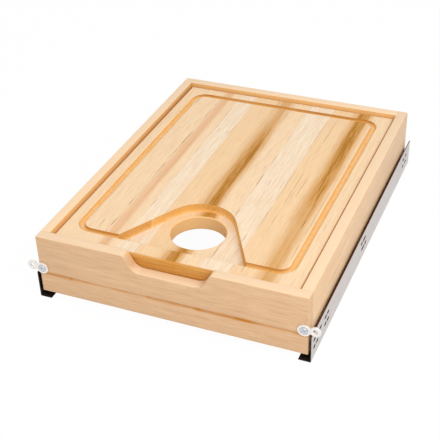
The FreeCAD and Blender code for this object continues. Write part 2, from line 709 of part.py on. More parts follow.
def make_intermediate_rail():
    """The rail between: a web with a floor, a folded double shelf and a roof."""
    body = prism("intermediate_rail", "XZ_Plane", [
        ("web_in", "mid_lift"), ("mid_tip - 3.5", "mid_lift"), ("mid_tip - 3.5", "mid_floor"),
        ("web_out", "mid_floor"), ("web_out", "mid_shelf_low"), ("mid_tip", "mid_shelf_low"),
        ("mid_tip", "mid_shelf_top"), ("web_out", "mid_shelf_top"), ("web_out", "mid_roof_low"),
        ("mid_tip - 1.5", "mid_roof_low"), ("mid_tip - 1.5", "mid_roof_top"),
        ("web_in", "mid_roof_top"),
    ], "back_y - moving_front", y="moving_front")
    dress(body, "Fillet", "thin_sheet / 2",
          lambda edge: runs_along(edge, 1) and near(middle(edge).x, size("web_in")))
    return body


def make_drawer_rail():
    """The rail that carries the drawer: roof, hanger, tongue and a hook at its rear end."""
    body = prism("drawer_rail_blank", "XZ_Plane", [
        ("hang_edge", "bearer_low"), ("hang_out", "bearer_low"), ("hang_out", "hang_tongue_low"),
        ("tongue_tip", "hang_tongue_low"), ("tongue_tip", "hang_tongue_top"),
        ("hang_in", "hang_tongue_top"), ("hang_in", "hang_roof_low"),
        ("hang_edge", "hang_roof_low"),
    ], "hang_rear - moving_front", y="moving_front")
    dress(body, "Fillet", "thin_sheet / 2",
          lambda edge: runs_along(edge, 1) and near(middle(edge).x, size("hang_out")))
    catch = block("drawer_rail_catch", "4", "nose_wide + 6", "thin_sheet + 2",
                  "hang_edge - 0.5", "nose_y - 5", "hang_roof_low - 1")
    notched = cut("drawer_rail_notched", body, catch)
    middle_x = "(web_out + mid_tip) / 2"
    ear = block("hook_ear", "14", "thin_sheet", "hook_lift + hook_radius + 1",
                middle_x + " - 7", "hang_rear - thin_sheet", "bearer_low - thin_sheet / 2")
    pin = rod("hook_pin", "hook_radius", "hook_reach + hook_depth - thin_sheet / 2",
              middle_x, "hang_rear - thin_sheet / 2", "hook_z", "-Y")
    return joined("drawer_rail", [notched, ear, pin])


def make_cage(label, track_low, track_top):
    """A plastic cage round one tongue: two arms with windows for the rollers, and a web.

    track_low is the top of the track below the tongue, track_top the tongue's upper face.
    """
    low_arm = "%s + (track_gap - cage_sheet) / 2" % track_low
    high_arm = "%s + (track_gap - cage_sheet) / 2" % track_top
    arms = [
        block(label + "_low_arm", "cage_out - cage_web_in", "cage_length", "cage_sheet",
              "cage_web_in", "cage_front", low_arm),
        block(label + "_high_arm", "cage_out - cage_web_in", "cage_length", "cage_sheet",
              "cage_web_in", "cage_front", high_arm),
        block(label + "_web", "thin_sheet", "cage_length",
              "%s - (%s) + cage_sheet" % (high_arm, low_arm),
              "cage_web_in", "cage_front", low_arm),
    ]
    windows = []
    rollers = []
    for number in range(2):
        place_y = "cage_front + roller_pitch * (%d + 0.5)" % number
        for arm, height in (("low", track_low), ("high", track_top)):
            name = "%s_%s_%d" % (label, arm, number)
            windows.append(block(name + "_window", "roller_length + 2 * cage_play",
                                 "2 * (roller_radius + cage_play)", "track_gap",
                                 "roller_in - cage_play",
                                 "%s - roller_radius - cage_play" % place_y, height))
            rollers.append(rod(name + "_roller", "roller_radius", "roller_length", "roller_in",
                               place_y, "%s + track_gap / 2" % height, "X"))
    cage = cut(label, joined(label + "_arms", arms), grouped(label + "_windows", windows))
    return cage, grouped(label + "_rollers", rollers)


def make_slides():
    """Both slides: the left one mirrors the right one."""
    cabinet = make_cabinet_rail()
    between = make_intermediate_rail()
    hanger = make_drawer_rail()
    low_cage, low_rollers = make_cage("low_cage", "mid_floor", "cab_tongue_top")
    high_cage, high_rollers = make_cage("high_cage", "mid_shelf_top", "hang_tongue_top")
    buffer = block("rear_buffer_block", "mid_tip - tongue_tip - 2 * buffer_inset",
                   "buffer_length", "hang_tongue_top - cab_tongue_top",
                   "tongue_tip + buffer_inset", "hang_rear + stop_gap", "cab_tongue_top")
    for source, node in ((cabinet, "cabinet_rail"), (between, "intermediate_rail"),
                         (hanger, "drawer_rail"), (low_cage, "lower_roller_cage"),
                         (low_rollers, "lower_rollers"), (high_cage, "upper_roller_cage"),
                         (high_rollers, "upper_rollers"), (buffer, "rear_buffer")):
        keep(source, node + "_right")
        keep(mirrored(node + "_mirror", source), node + "_left")


def make_lock_screw():
    """One pan-head screw per lock housing, up into the bearer strip."""
    across = "(lock_in + lock_out) / 2"
    along = "lock_front + lock_depth - 7"
    head = rod("lock_screw_head", "screw_head", "screw_head_tall", across, along,
               "lock_low + screw_sink - screw_head_tall", "Z")
    shank = rod("lock_screw_shank", "screw_shank", "lock_tall - screw_sink + screw_grip",
                across, along, "lock_low + screw_sink", "Z")
    return joined("lock_screw_right", [head, shank])


def make_locks(screw):
    """A lock under each bearer: its lever's nose holds the drawer rail, a squeeze frees it."""
    solid = block("lock_block", "lock_width", "lock_depth", "lock_tall",
                  "lock_in", "lock_front", "lock_low")
    room = block("lock_room", "lock_width + 2", "lock_depth - 14",
                 "lock_tall", "lock_in - 1", "lock_front - 1", "lever_low - lever_play")
    hollow = cut("lock_hollow", solid, room)
    boss = rod("lock_boss", "pivot_radius", "bearer_low - lever_low + lever_play + 1",
               "pivot_x", "pivot_y", "lever_low - lever_play - 1", "Z")
    housing = cut("lock_housing", joined("lock_with_boss", [hollow, boss]), screw)
    lever = make_lever()
    keep(housing, "lock_housing_right")
    keep(mirrored("lock_housing_mirror", housing), "lock_housing_left")
    keep(lever, "lock_lever_right")
    keep(mirrored("lock_lever_mirror", lever), "lock_lever_left")
    both = grouped("lock_screws_both", [screw, mirrored("lock_screw_left", screw)])
    keep(both, "lock_screws")


def make_lever():
    """The lock lever: an eye, an arm along the rail, a nose toward it and a finger tab."""
    arm = block("lever_arm", "lever_wide", "pivot_setback - run_gap", "lever_sheet",
                "pivot_x - lever_wide / 2", "front_in + run_gap", "lever_low")
    eye = rod("lever_eye_disc", "lever_eye", "lever_sheet", "pivot_x", "pivot_y",
              "lever_low", "Z")
    nose = block("lever_nose", "nose_tip - pivot_x", "nose_wide", "lever_sheet",
                 "pivot_x", "nose_y", "lever_low")
    finger = block("lever_finger", "lever_wide + 6", "finger_sheet", "finger_tall",
                   "pivot_x - lever_wide / 2 - 3", "front_in + run_gap",
                   "lever_top - finger_tall")
    hole = rod("lever_hole", "pivot_radius + pivot_play", "lever_sheet + 2", "pivot_x",
               "pivot_y", "lever_low - 1", "Z")
    return cut("lever", joined("lever_whole", [arm, eye, nose, finger]), hole)


def make_eye_plates(eye_screws):
    """Figure-of-eight plates that reach past the drawer's sides, for an applied front."""
    for side, sign in (("left", "-1"), ("right", "1")):
        tilt = "eye_tilt_" + side
        free_x = "%s * (eye_x + eye_pitch * cos(%s))" % (sign, tilt)
        free_z = "eye_z + eye_pitch * sin(%s)" % tilt
        large = rod("eye_large_" + side, "eye_large", "eye_sheet", "%s * eye_x" % sign,
                    "face_y", "eye_z", "-Y")
        small = rod("eye_small_" + side, "eye_small", "eye_sheet", free_x, "face_y",
                    free_z, "-Y")
        waist = doc.addObject("Part::Box", "eye_waist_" + side)
        bind(waist, "Length", "eye_pitch")
        bind(waist, "Width", "eye_sheet")
        bind(waist, "Height", "eye_waist")
        waist.Placement.Rotation = FreeCAD.Rotation(Vector(0, 1, 0), 0)
        bind(waist, "Placement.Rotation.Angle", "-1 * %s * %s" % (sign, tilt))
        waist.Placement.Rotation.Axis = Vector(0, 1, 0)
        begin_x, begin_z = ("eye_x", "eye_z") if side == "right" else (free_x, free_z)
        place(waist, "%s + %s * eye_waist / 2 * sin(%s)" % (begin_x, sign, tilt),
              "face_y - eye_sheet", "%s - eye_waist / 2 * cos(%s)" % (begin_z, tilt))
        plate = joined("eye_plate_" + side, [large, small, waist])
        free_hole = rod("eye_free_" + side, "eye_free_hole", "eye_sheet + 2", free_x,
                        "face_y + 1", free_z, "-Y")
        sink = rod("eye_sink_" + side, "eye_sink_radius", "eye_sink_depth + 1",
                   "%s * eye_x" % sign, "face_y - eye_sheet + eye_sink_depth", "eye_z", "-Y")
        tools = grouped("eye_tools_" + side, [free_hole, sink, eye_screws])
        keep(cut("eye_plate_cut_" + side, plate, tools), "figure_eight_plate_" + side)


dowels = keep(make_dowels(), "corner_dowels")
eye_screws = keep(make_eye_screws(), "figure_eight_screws")
lock_screw = make_lock_screw()
doc.recompute()
make_front(dowels, eye_screws)
make_sides(dowels)
make_back(dowels)
make_bearers(lock_screw)
make_cleats()
make_board()
make_slides()
make_locks(lock_screw)
make_eye_plates(eye_screws)
doc.recompute()

for item in doc.Objects:
    if "Invalid" in item.State or "Error" in item.State:
        raise RuntimeError("%s did not build: %s" % (item.Label, item.State))
os.makedirs("parts", exist_ok=True)
for item in kept:
    shape = item.Shape
    if shape.isNull() or not shape.isValid():
        raise RuntimeError("%s has no valid shape" % item.Label)
    shape.exportStep(os.path.join("parts", item.Label + ".step"))
    print("%-28s %2d solid(s) %12.1f mm3" % (item.Label, len(shape.Solids), shape.Volume))
print("%d nodes" % len(kept))
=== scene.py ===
"""Looks of a pull-out cutting board drawer: finishes, eased edges, light and camera.

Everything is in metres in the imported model's frame. A number times MM is in millimetres, and
so are the places across the board in the lists below.
"""
import json
import math

import bmesh
import bpy
from mathutils import Euler, Matrix, Vector


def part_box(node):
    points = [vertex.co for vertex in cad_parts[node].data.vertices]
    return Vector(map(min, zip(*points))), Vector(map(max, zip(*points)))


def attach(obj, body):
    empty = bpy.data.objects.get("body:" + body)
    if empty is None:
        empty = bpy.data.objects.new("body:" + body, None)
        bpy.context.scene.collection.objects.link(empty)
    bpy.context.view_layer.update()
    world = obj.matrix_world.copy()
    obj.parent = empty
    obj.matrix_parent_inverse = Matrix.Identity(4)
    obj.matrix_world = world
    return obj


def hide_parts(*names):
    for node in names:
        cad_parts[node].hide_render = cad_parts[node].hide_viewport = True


bl_info = {
    "name": "Cutting board drawer",
    "version": (1, 0, 0),
    "blender": (4, 5, 0),
    "location": "View3D > Sidebar > Drawer",
    "description": "Dresses a packed cutting board drawer with wood, steel and light",
    "category": "Object",
}

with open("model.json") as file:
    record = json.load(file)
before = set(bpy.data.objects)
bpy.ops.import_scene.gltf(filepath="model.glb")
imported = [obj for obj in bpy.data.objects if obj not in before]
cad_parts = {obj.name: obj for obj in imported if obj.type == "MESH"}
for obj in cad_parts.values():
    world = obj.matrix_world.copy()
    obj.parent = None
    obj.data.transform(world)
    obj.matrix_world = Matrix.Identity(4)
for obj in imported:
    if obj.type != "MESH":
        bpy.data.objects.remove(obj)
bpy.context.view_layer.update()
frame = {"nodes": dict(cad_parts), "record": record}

MM = 0.001

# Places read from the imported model.
BOARD_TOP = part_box("cutting_board")[1].z
BOARD_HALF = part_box("cutting_board")[1].x
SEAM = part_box("front_lower_board")[1].z
PLATE_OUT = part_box("cabinet_rail_right")[1].x
PLATE_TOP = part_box("cabinet_rail_right")[1].z
HEADS_LOW, HEADS_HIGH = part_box("figure_eight_screws")
HEAD_RADIUS = (HEADS_HIGH.z - HEADS_LOW.z) / 2
PIVOT_X = HEADS_HIGH.x - HEAD_RADIUS
PIVOT_Z = (HEADS_HIGH.z + HEADS_LOW.z) / 2

# The board's cut forms, which its colours follow: the waste hole's middle, a reach that takes
# in its wall, one that takes in the recess's round head, a depth that the groove stays above,
# how far from the middle its runs from side to side begin, and the width of the rounded edge.
HOLE_Y = -163.1 * MM
BORE_REACH = 41.6 * MM
RECESS_HEAD_REACH = 70 * MM
GROOVE_LOWEST = 6 * MM
GROOVE_CROSSING = 209 * MM
ROUND_OVER = 7 * MM

# Where the board's strips meet, how dark each of those glue lines is, and half the width of
# the change of tone and of the dark line.
STRIP_EDGES = (-155, -118, -86, -57, -15, 41, 83, 98, 152)
GLUE_LINES = (0.6, 2.0, 0.6, 0.6, 0.8, 1.6, 0.8, 1.2, 1.2)
STRIP_BLEND = 1.5
GLUE_LINE_HALF = 0.7

# How strong each streak is across the board, a place and a level, and how far the
# streaks wander, as a share of the board's width.
HEARTWOOD_LEVELS = (
    (-27, 0.0), (-22, 0.12), (-18, 0.24), (-14, 0.54), (-10, 0.74), (-4, 0.87), (3, 0.9),
    (7, 0.66), (10, 0.44), (14, 0.1), (18, 0.0),
    (114, 0.0), (120, 0.25), (124, 0.45), (128, 0.76), (133, 0.9), (141, 0.8), (145, 0.64),
    (148, 0.22), (153, 0.06), (156, 0.0))
BLUSH_LEVELS = ((-118, 0.0), (-114, 0.55), (-105, 0.75), (-102, 0.5), (-99, 0.0))
SWAY = 0.02

# Darker spots along the front's glue line: a place and half its length.
SEAM_SPOTS = ((-153, 5), (-30, 4), (45, 9), (112, 22))

# How many times longer than wide the fibres and the growth bands are.
FIBRE_STRETCH = 40
BAND_STRETCH = 28

# Plated and oiled steel is faintly clouded, in patches of this many millimetres.
CLOUDING = 10 / 3

# Edges that turn more than CRISP stay sharp, and faces that turn less than LEVEL are one.
CRISP = math.radians(32)
LEVEL = math.radians(0.3)

# How far the floor reaches each way, in metres, and how much of its white is its own.
FLOOR_REACH = 6.0
FLOOR_GLOW = 0.97


def srgb(code):
    """A hex colour such as #C8A078 as Blender's linear red, green and blue."""
    parts = [int(code[place:place + 2], 16) / 255 for place in (1, 3, 5)]
    return tuple(part / 12.92 if part <= 0.04045 else ((part + 0.055) / 1.055) ** 2.4
                 for part in parts)


def opaque(colour):
    """A colour with full alpha, as sockets and ramps want it."""
    return (colour[0], colour[1], colour[2], 1.0)


def grey(level):
    """A ramp colour that only carries a number."""
    return (level, level, level)


def add_node(tree, kind, inputs=None, stops=None, **settings):
    """Adds one node with its settings. Each input is a number, a colour or a socket to link."""
    made = tree.nodes.new(kind)
    for name, value in settings.items():
        setattr(made, name, value)
    for key, value in (inputs or {}).items():
        if isinstance(value, bpy.types.NodeSocket):
            tree.links.new(value, made.inputs[key])
        else:
            made.inputs[key].default_value = value
    if stops:
        points = made.color_ramp.elements
        for place, colour in stops[1:-1]:
            points.new(place)
        for point, (place, colour) in zip(points, stops):
            point.position = place
            point.color = opaque(colour)
    return made


def new_material(name):
    """A material with a Principled shader and nothing else."""
    made = bpy.data.materials.new(name)
    made.use_nodes = True
    return made, made.node_tree, made.node_tree.nodes["Principled BSDF"]


class WoodFinish(bpy.types.PropertyGroup):
    """Colours of the lacquered maple box and of the oiled board."""

    maple_light: bpy.props.FloatVectorProperty(
        name="Maple", description="Pale wood between the grain lines of the box",
        subtype="COLOR", size=3, min=0, max=1, default=srgb("#F2CFA2"))
    maple_dark: bpy.props.FloatVectorProperty(
        name="Maple grain", description="Grain lines of the box",
        subtype="COLOR", size=3, min=0, max=1, default=srgb("#DAB38A"))
    # Painted light: faces that point up are mixed towards this paler colour as a painted
    # highlight.
    maple_painted_top_light: bpy.props.FloatVectorProperty(
        name="Maple edges", description="Painted light on the box's upward faces",
        subtype="COLOR", size=3, min=0, max=1, default=srgb("#F7D9B5"))
    seam_brown: bpy.props.FloatVectorProperty(
        name="Seam", description="Glue line between the front's two boards",
        subtype="COLOR", size=3, min=0, max=1, default=srgb("#BE7A26"))
    board_cream: bpy.props.FloatVectorProperty(
        name="Cream strips", description="Usual strips of the cutting board",
        subtype="COLOR", size=3, min=0, max=1, default=srgb("#F3D6B0"))
    board_ivory: bpy.props.FloatVectorProperty(
        name="Ivory strips", description="Palest strips of the cutting board",
        subtype="COLOR", size=3, min=0, max=1, default=srgb("#F3E0C6"))
    board_tan: bpy.props.FloatVectorProperty(
        name="Tan strips", description="Warmer strips of the cutting board",
        subtype="COLOR", size=3, min=0, max=1, default=srgb("#F0CDA0"))
    blush: bpy.props.FloatVectorProperty(
        name="Pink streak", description="Narrow pinkish streak in a left strip",
        subtype="COLOR", size=3, min=0, max=1, default=srgb("#DFA473"))
    heartwood: bpy.props.FloatVectorProperty(
        name="Heartwood", description="Brown streaks in two of the strips",
        subtype="COLOR", size=3, min=0, max=1, default=srgb("#C38000"))
    heart_core: bpy.props.FloatVectorProperty(
        name="Heartwood core", description="Darkest lines inside the brown streaks",
        subtype="COLOR", size=3, min=0, max=1, default=srgb("#7C4C06"))
    # Real flecks and open glue lines, and also the painted shadow along the board's edge beside
    # the walls.
    fleck_and_shadow_brown: bpy.props.FloatVectorProperty(
        name="Flecks", description="Short dark flecks, open glue lines and the painted gap shadow",
        subtype="COLOR", size=3, min=0, max=1, default=srgb("#8F5A24"))
    # Partly the real tone of cut fibres, partly painted shade and bounce light in the groove, the
    # recess and the box's walls.
    routed_and_shade: bpy.props.FloatVectorProperty(
        name="Routed wood", description="Groove and walls: cut fibres with painted shade and bounce light",
        subtype="COLOR", size=3, min=0, max=1, default=srgb("#E9B05F"))
    # Painted light: the hole's wall is painted bright, standing in for light bounced up from
    # below.
    bore_painted_bright: bpy.props.FloatVectorProperty(
        name="Bored wood", description="Wall of the waste hole",
        subtype="COLOR", size=3, min=0, max=1, default=srgb("#FFCF90"))
    # Partly the real darker end grain, partly painted shade for the shadow under the front's
    # overhang.
    end_grain_and_shade: bpy.props.FloatVectorProperty(
        name="End grain", description="Front and back edges of the board",
        subtype="COLOR", size=3, min=0, max=1, default=srgb("#C07F30"))


class HardwareFinish(bpy.types.PropertyGroup):
    """Colours of the slides, the plates, the locks and the screws."""

    zinc: bpy.props.FloatVectorProperty(
        name="Zinc", description="Bright side of the cabinet rails",
        subtype="COLOR", size=3, min=0, max=1, default=srgb("#CFC8C4"))
    dull_zinc: bpy.props.FloatVectorProperty(
        name="Dull zinc", description="Cloudy patches in the bright side",
        subtype="COLOR", size=3, min=0, max=1, default=srgb("#B9B2B2"))
    # Painted shade: the zinc's inner faces and foot are painted this dark colour.
    rail_painted_shade: bpy.props.FloatVectorProperty(
        name="Dark steel", description="Painted shade on the inner faces and foot of the cabinet rails",
        subtype="COLOR", size=3, min=0, max=1, default=srgb("#2C2222"))
    # Painted shadow and painted wood reflection along the plates' upper edge.
    rail_edge_painted_shadow: bpy.props.FloatVectorProperty(
        name="Brown steel", description="Painted shadow and wood reflection on the plates' upper edge",
        subtype="COLOR", size=3, min=0, max=1, default=srgb("#6A2604"))
    oiled_steel: bpy.props.FloatVectorProperty(
        name="Oiled steel", description="Intermediate and drawer rails",
        subtype="COLOR", size=3, min=0, max=1, default=srgb("#8E8C8C"))
    ground_steel: bpy.props.FloatVectorProperty(
        name="Ground steel", description="Needle rollers",
        subtype="COLOR", size=3, min=0, max=1, default=srgb("#C9C9CC"))
    nylon: bpy.props.FloatVectorProperty(
        name="Nylon", description="Roller cages",
        subtype="COLOR", size=3, min=0, max=1, default=srgb("#2B2B2D"))
    rubber: bpy.props.FloatVectorProperty(
        name="Rubber", description="Rear buffers",
        subtype="COLOR", size=3, min=0, max=1, default=srgb("#191919"))
    housing: bpy.props.FloatVectorProperty(
        name="Housing", description="Lock housings",
        subtype="COLOR", size=3, min=0, max=1, default=srgb("#4A4C4F"))
    lever: bpy.props.FloatVectorProperty(
        name="Lever", description="Lock levers",
        subtype="COLOR", size=3, min=0, max=1, default=srgb("#D9772B"))
    lock_screw: bpy.props.FloatVectorProperty(
        name="Lock screw", description="Screws of the lock housings",
        subtype="COLOR", size=3, min=0, max=1, default=srgb("#C4C4C8"))
    nickel: bpy.props.FloatVectorProperty(
        name="Nickel", description="Figure-of-eight plates",
        subtype="COLOR", size=3, min=0, max=1, default=srgb("#EDE8E3"))
    plate_screw: bpy.props.FloatVectorProperty(
        name="Plate screw", description="Screws of the figure-of-eight plates",
        subtype="COLOR", size=3, min=0, max=1, default=srgb("#CFD3DA"))


class EdgeSizes(bpy.types.PropertyGroup):
    """How far each kind of piece has its edges eased."""

    front: bpy.props.FloatProperty(
        name="Front", description="Edges of the front's two boards",
        subtype="DISTANCE", unit="LENGTH", min=0, default=0.25 * MM)
    panels: bpy.props.FloatProperty(
        name="Panels", description="Edges of the sides and the back",
        subtype="DISTANCE", unit="LENGTH", min=0, default=0.4 * MM)
    strips: bpy.props.FloatProperty(
        name="Strips", description="Edges of bearers and cleats",
        subtype="DISTANCE", unit="LENGTH", min=0, default=0.5 * MM)
    rails: bpy.props.FloatProperty(
        name="Rails", description="Sheared edges of the cabinet rails",
        subtype="DISTANCE", unit="LENGTH", min=0, default=0.15 * MM)
    buffers: bpy.props.FloatProperty(
        name="Buffers", description="Edges of the rubber buffers",
        subtype="DISTANCE", unit="LENGTH", min=0, default=0.8 * MM)
    housings: bpy.props.FloatProperty(
        name="Housings", description="Edges of the lock housings",
        subtype="DISTANCE", unit="LENGTH", min=0, default=0.6 * MM)
    levers: bpy.props.FloatProperty(
        name="Levers", description="Edges of the lock levers",
        subtype="DISTANCE", unit="LENGTH", min=0, default=0.4 * MM)
    plates: bpy.props.FloatProperty(
        name="Plates", description="Edges of the figure-of-eight plates",
        subtype="DISTANCE", unit="LENGTH", min=0, default=0.35 * MM)
    heads: bpy.props.FloatProperty(
        name="Screw heads", description="Rounded shoulder of the plates' screws",
        subtype="DISTANCE", unit="LENGTH", min=0, max=1.8 * MM, default=1.3 * MM)


class StudioSettings(bpy.types.PropertyGroup):
    """Camera, sky and lamp."""

    azimuth: bpy.props.FloatProperty(
        name="Azimuth", description="Camera's place round the drawer, from straight in front",
        subtype="ANGLE", default=math.radians(23.36))
    elevation: bpy.props.FloatProperty(
        name="Elevation", description="Camera's height above the drawer",
        subtype="ANGLE", default=math.radians(34.18))
    roll: bpy.props.FloatProperty(
        name="Roll", description="Tilt of the camera about its own view",
        subtype="ANGLE", default=math.radians(-1.95))
    camera_place: bpy.props.FloatVectorProperty(
        name="Camera", description="Where the camera stands",
        subtype="TRANSLATION", unit="LENGTH", size=3, default=(0.4951, -1.2294, 0.9076))
    lens: bpy.props.FloatProperty(
        name="Lens", description="Focal length on a 36 mm sensor, in millimetres",
        subtype="DISTANCE_CAMERA", unit="CAMERA", min=10, max=300, default=81.25)
    sky: bpy.props.FloatProperty(
        name="Sky", description="Even light from all round", min=0, max=3, default=0.76)
    key: bpy.props.FloatProperty(
        name="Key lamp", description="Soft lamp above, in watts",
        subtype="POWER", unit="POWER", min=0, max=200, default=24)
    key_place: bpy.props.FloatVectorProperty(
        name="Key lamp's place", description="Where the soft lamp hangs",
        subtype="TRANSLATION", unit="LENGTH", size=3, default=(1.0, -1.0, 1.6))
    key_size: bpy.props.FloatProperty(
        name="Key lamp's size", description="Side of the soft lamp's square",
        subtype="DISTANCE", unit="LENGTH", min=0.1, max=5, default=1.8)


def uneven(tree, place, sizes, detail=2.0):
    """An uneven field from 0 to 1 whose patches measure sizes, in mm along X, Y and Z."""
    mapped = add_node(tree, "ShaderNodeMapping", {
        "Vector": place.outputs["Object"], "Scale": [1 / (size * MM) for size in sizes]})
    return add_node(tree, "ShaderNodeTexNoise", {
        "Vector": mapped.outputs["Vector"], "Scale": 1.0, "Detail": detail}).outputs["Fac"]


def wood_grain(tree, along, fine, coarse, shift=0.0):
    """Two fields of long streaks, from 0 to 1: fine fibres and wide growth bands.

    along is the fibres' axis, 0 for X and 1 for Y. fine and coarse are streak widths in mm.
    Real fibres are about 0.1 mm wide and are drawn as coarse as they need to show.
    """
    place = add_node(tree, "ShaderNodeTexCoord")
    fields = []
    for width, stretch, detail in ((fine, FIBRE_STRETCH, 4), (coarse, BAND_STRETCH, 2)):
        scale = [1 / (width * MM)] * 3
        scale[along] /= stretch
        mapped = add_node(tree, "ShaderNodeMapping", {
            "Vector": place.outputs["Object"], "Scale": scale,
            "Location": (shift, shift * 2, shift * 3)})
        fields.append(add_node(tree, "ShaderNodeTexNoise", {
            "Vector": mapped.outputs["Vector"], "Scale": 1.0, "Detail": detail,
            "Roughness": 0.6, "Distortion": 0.3}).outputs["Fac"])
    return place, fields[0], fields[1]


def across_board(spot):
    """Where spot, in mm from the board's middle, falls on a ramp over the board's width."""
    half = BOARD_HALF / MM
    return (spot + half) / (2 * half)


def paint_wall_shade(tree, place, plain, finish):
    """Painted shade on the walls that face the board: a deeper, more orange tone, as light
    bounced between wood gives.
    """
    level = add_node(tree, "ShaderNodeVectorMath", {
        0: place.outputs["Object"], 1: (1, 1, 0)}, operation="MULTIPLY")
    inward = add_node(tree, "ShaderNodeVectorMath", {
        0: level.outputs["Vector"], 1: place.outputs["Normal"]}, operation="DOT_PRODUCT")
    inner = add_node(tree, "ShaderNodeMapRange", {
        "Value": inward.outputs["Value"], "From Min": -0.05, "From Max": -0.12,
        "To Min": 0.0, "To Max": 0.65})
    return add_node(tree, "ShaderNodeMix", {
        "Factor": inner.outputs["Result"], "A": plain, "B": opaque(finish.routed_and_shade)},
        data_type="RGBA").outputs["Result"]


def stain_seam(tree, place, plain, finish):
    """The glue line between the front's two boards: brown, uneven, with a few darker spots."""
    parts = add_node(tree, "ShaderNodeSeparateXYZ", {"Vector": place.outputs["Object"]})
    away = add_node(tree, "ShaderNodeMath", {0: parts.outputs["Z"], 1: SEAM},
                    operation="SUBTRACT")
    apart = add_node(tree, "ShaderNodeMath", {0: away.outputs["Value"]}, operation="ABSOLUTE")
    blot = uneven(tree, place, (70, 1000, 200), 3.0)
    width = add_node(tree, "ShaderNodeMapRange", {
        "Value": blot, "From Min": 0.4, "From Max": 0.65,
        "To Min": 2.8 * MM, "To Max": 4.6 * MM})
    smear = add_node(tree, "ShaderNodeMapRange", {
        "Value": blot, "From Min": 0.35, "From Max": 0.65, "To Min": 0.42, "To Max": 0.78})
    along = add_node(tree, "ShaderNodeMapRange", {
        "Value": parts.outputs["X"], "From Min": -BOARD_HALF, "From Max": BOARD_HALF})
    stops = []
    for spot, reach in SEAM_SPOTS:
        stops.append((across_board(spot - reach), grey(0.0)))
        stops.append((across_board(spot), grey(1.0)))
        stops.append((across_board(spot + reach), grey(0.0)))
    spots = add_node(tree, "ShaderNodeValToRGB", {"Fac": along.outputs["Result"]}, stops=stops)
    strength = add_node(tree, "ShaderNodeMath", {
        0: spots.outputs["Color"], 1: 0.35, 2: smear.outputs["Result"]},
        operation="MULTIPLY_ADD")
    line = add_node(tree, "ShaderNodeMapRange", {
        "Value": apart.outputs["Value"], "From Min": width.outputs["Result"],
        "From Max": 1.1 * MM, "To Min": 0.0, "To Max": strength.outputs["Value"]})
    return add_node(tree, "ShaderNodeMix", {
        "Factor": line.outputs["Result"], "A": plain, "B": opaque(finish.seam_brown)},
        data_type="RGBA", clamp_factor=True).outputs["Result"]


def make_maple(name, along, finish, seam=False, shift=0.0, walls=False, shade=0.0):
    """Maple, planed and sprayed with satin lacquer: pale, tight fibres, a low even sheen.

    Faces that point up are painted paler, a painted highlight for light from above.
    The walls round the board get painted shade, deeper and more orange.
    shift moves the pattern, so that no two pieces match, and shade darkens it all, from 0 to 1,
    as painted shade on faces that get less light.
    """
    made, tree, shader = new_material(name)
    place, fibre, growth = wood_grain(tree, along, fine=0.9, coarse=7.0, shift=shift)
    bands = add_node(tree, "ShaderNodeValToRGB", {"Fac": growth},
                     stops=[(0.34, grey(0.0)), (0.5, grey(0.45)), (0.56, grey(0.15)),
                            (0.68, grey(0.8))])
    lines = add_node(tree, "ShaderNodeMapRange", {
        "Value": fibre, "From Min": 0.32, "From Max": 0.68, "To Min": -0.05, "To Max": 0.85})
    both = add_node(tree, "ShaderNodeMath", {
        0: bands.outputs["Color"], 1: 0.55, 2: lines.outputs["Result"]},
        operation="MULTIPLY_ADD")
    deep = add_node(tree, "ShaderNodeMath", {0: both.outputs["Value"], 1: shade},
                    operation="ADD")
    colour = add_node(tree, "ShaderNodeMix", {
        "Factor": deep.outputs["Value"], "A": opaque(finish.maple_light),
        "B": opaque(finish.maple_dark)}, data_type="RGBA", clamp_factor=False)
    # Painted highlight: the more a face points up, the more it takes the paler top colour.
    facing = add_node(tree, "ShaderNodeSeparateXYZ", {"Vector": place.outputs["Normal"]})
    upward = add_node(tree, "ShaderNodeMapRange", {
        "Value": facing.outputs["Z"], "From Min": 0.5, "From Max": 0.95,
        "To Min": 0.0, "To Max": 0.7})
    top_lit = add_node(tree, "ShaderNodeMix", {
        "Factor": upward.outputs["Result"], "A": colour.outputs["Result"],
        "B": opaque(finish.maple_painted_top_light)}, data_type="RGBA")
    result = top_lit.outputs["Result"]
    # The walls that face the board get painted shade, warmed like bounced light.
    if walls:
        result = paint_wall_shade(tree, place, result, finish)
    if seam:
        result = stain_seam(tree, place, result, finish)
    bump = add_node(tree, "ShaderNodeBump", {
        "Height": fibre, "Strength": 0.25, "Distance": 0.08 * MM})
    tree.links.new(result, shader.inputs["Base Color"])
    tree.links.new(bump.outputs["Normal"], shader.inputs["Normal"])
    # Satin lacquer has a roughness of about 0.4 and an IOR of 1.5. The photo shows less shine.
    shader.inputs["Roughness"].default_value = 0.46
    shader.inputs["IOR"].default_value = 1.36
    return made


def board_strips(tree, finish, across, growth):
    """The glued strips, each in its own tone, with faint growth bands."""
    cream, ivory, tan = finish.board_cream, finish.board_ivory, finish.board_tan
    tones = (cream, cream, cream, ivory, tan, cream, ivory, tan, tan, cream)
    stops = []
    for count, edge in enumerate(STRIP_EDGES):
        stops.append((across_board(edge - STRIP_BLEND), tones[count]))
        stops.append((across_board(edge + STRIP_BLEND), tones[count + 1]))
    strips = add_node(tree, "ShaderNodeValToRGB", {"Fac": across}, stops=stops)
    bands = add_node(tree, "ShaderNodeMapRange", {
        "Value": growth, "From Min": 0.4, "From Max": 0.7, "To Min": 0.0, "To Max": 0.34})
    return add_node(tree, "ShaderNodeMix", {
        "Factor": bands.outputs["Result"], "A": strips.outputs["Color"],
        "B": opaque(finish.maple_light)}, data_type="RGBA").outputs["Result"]


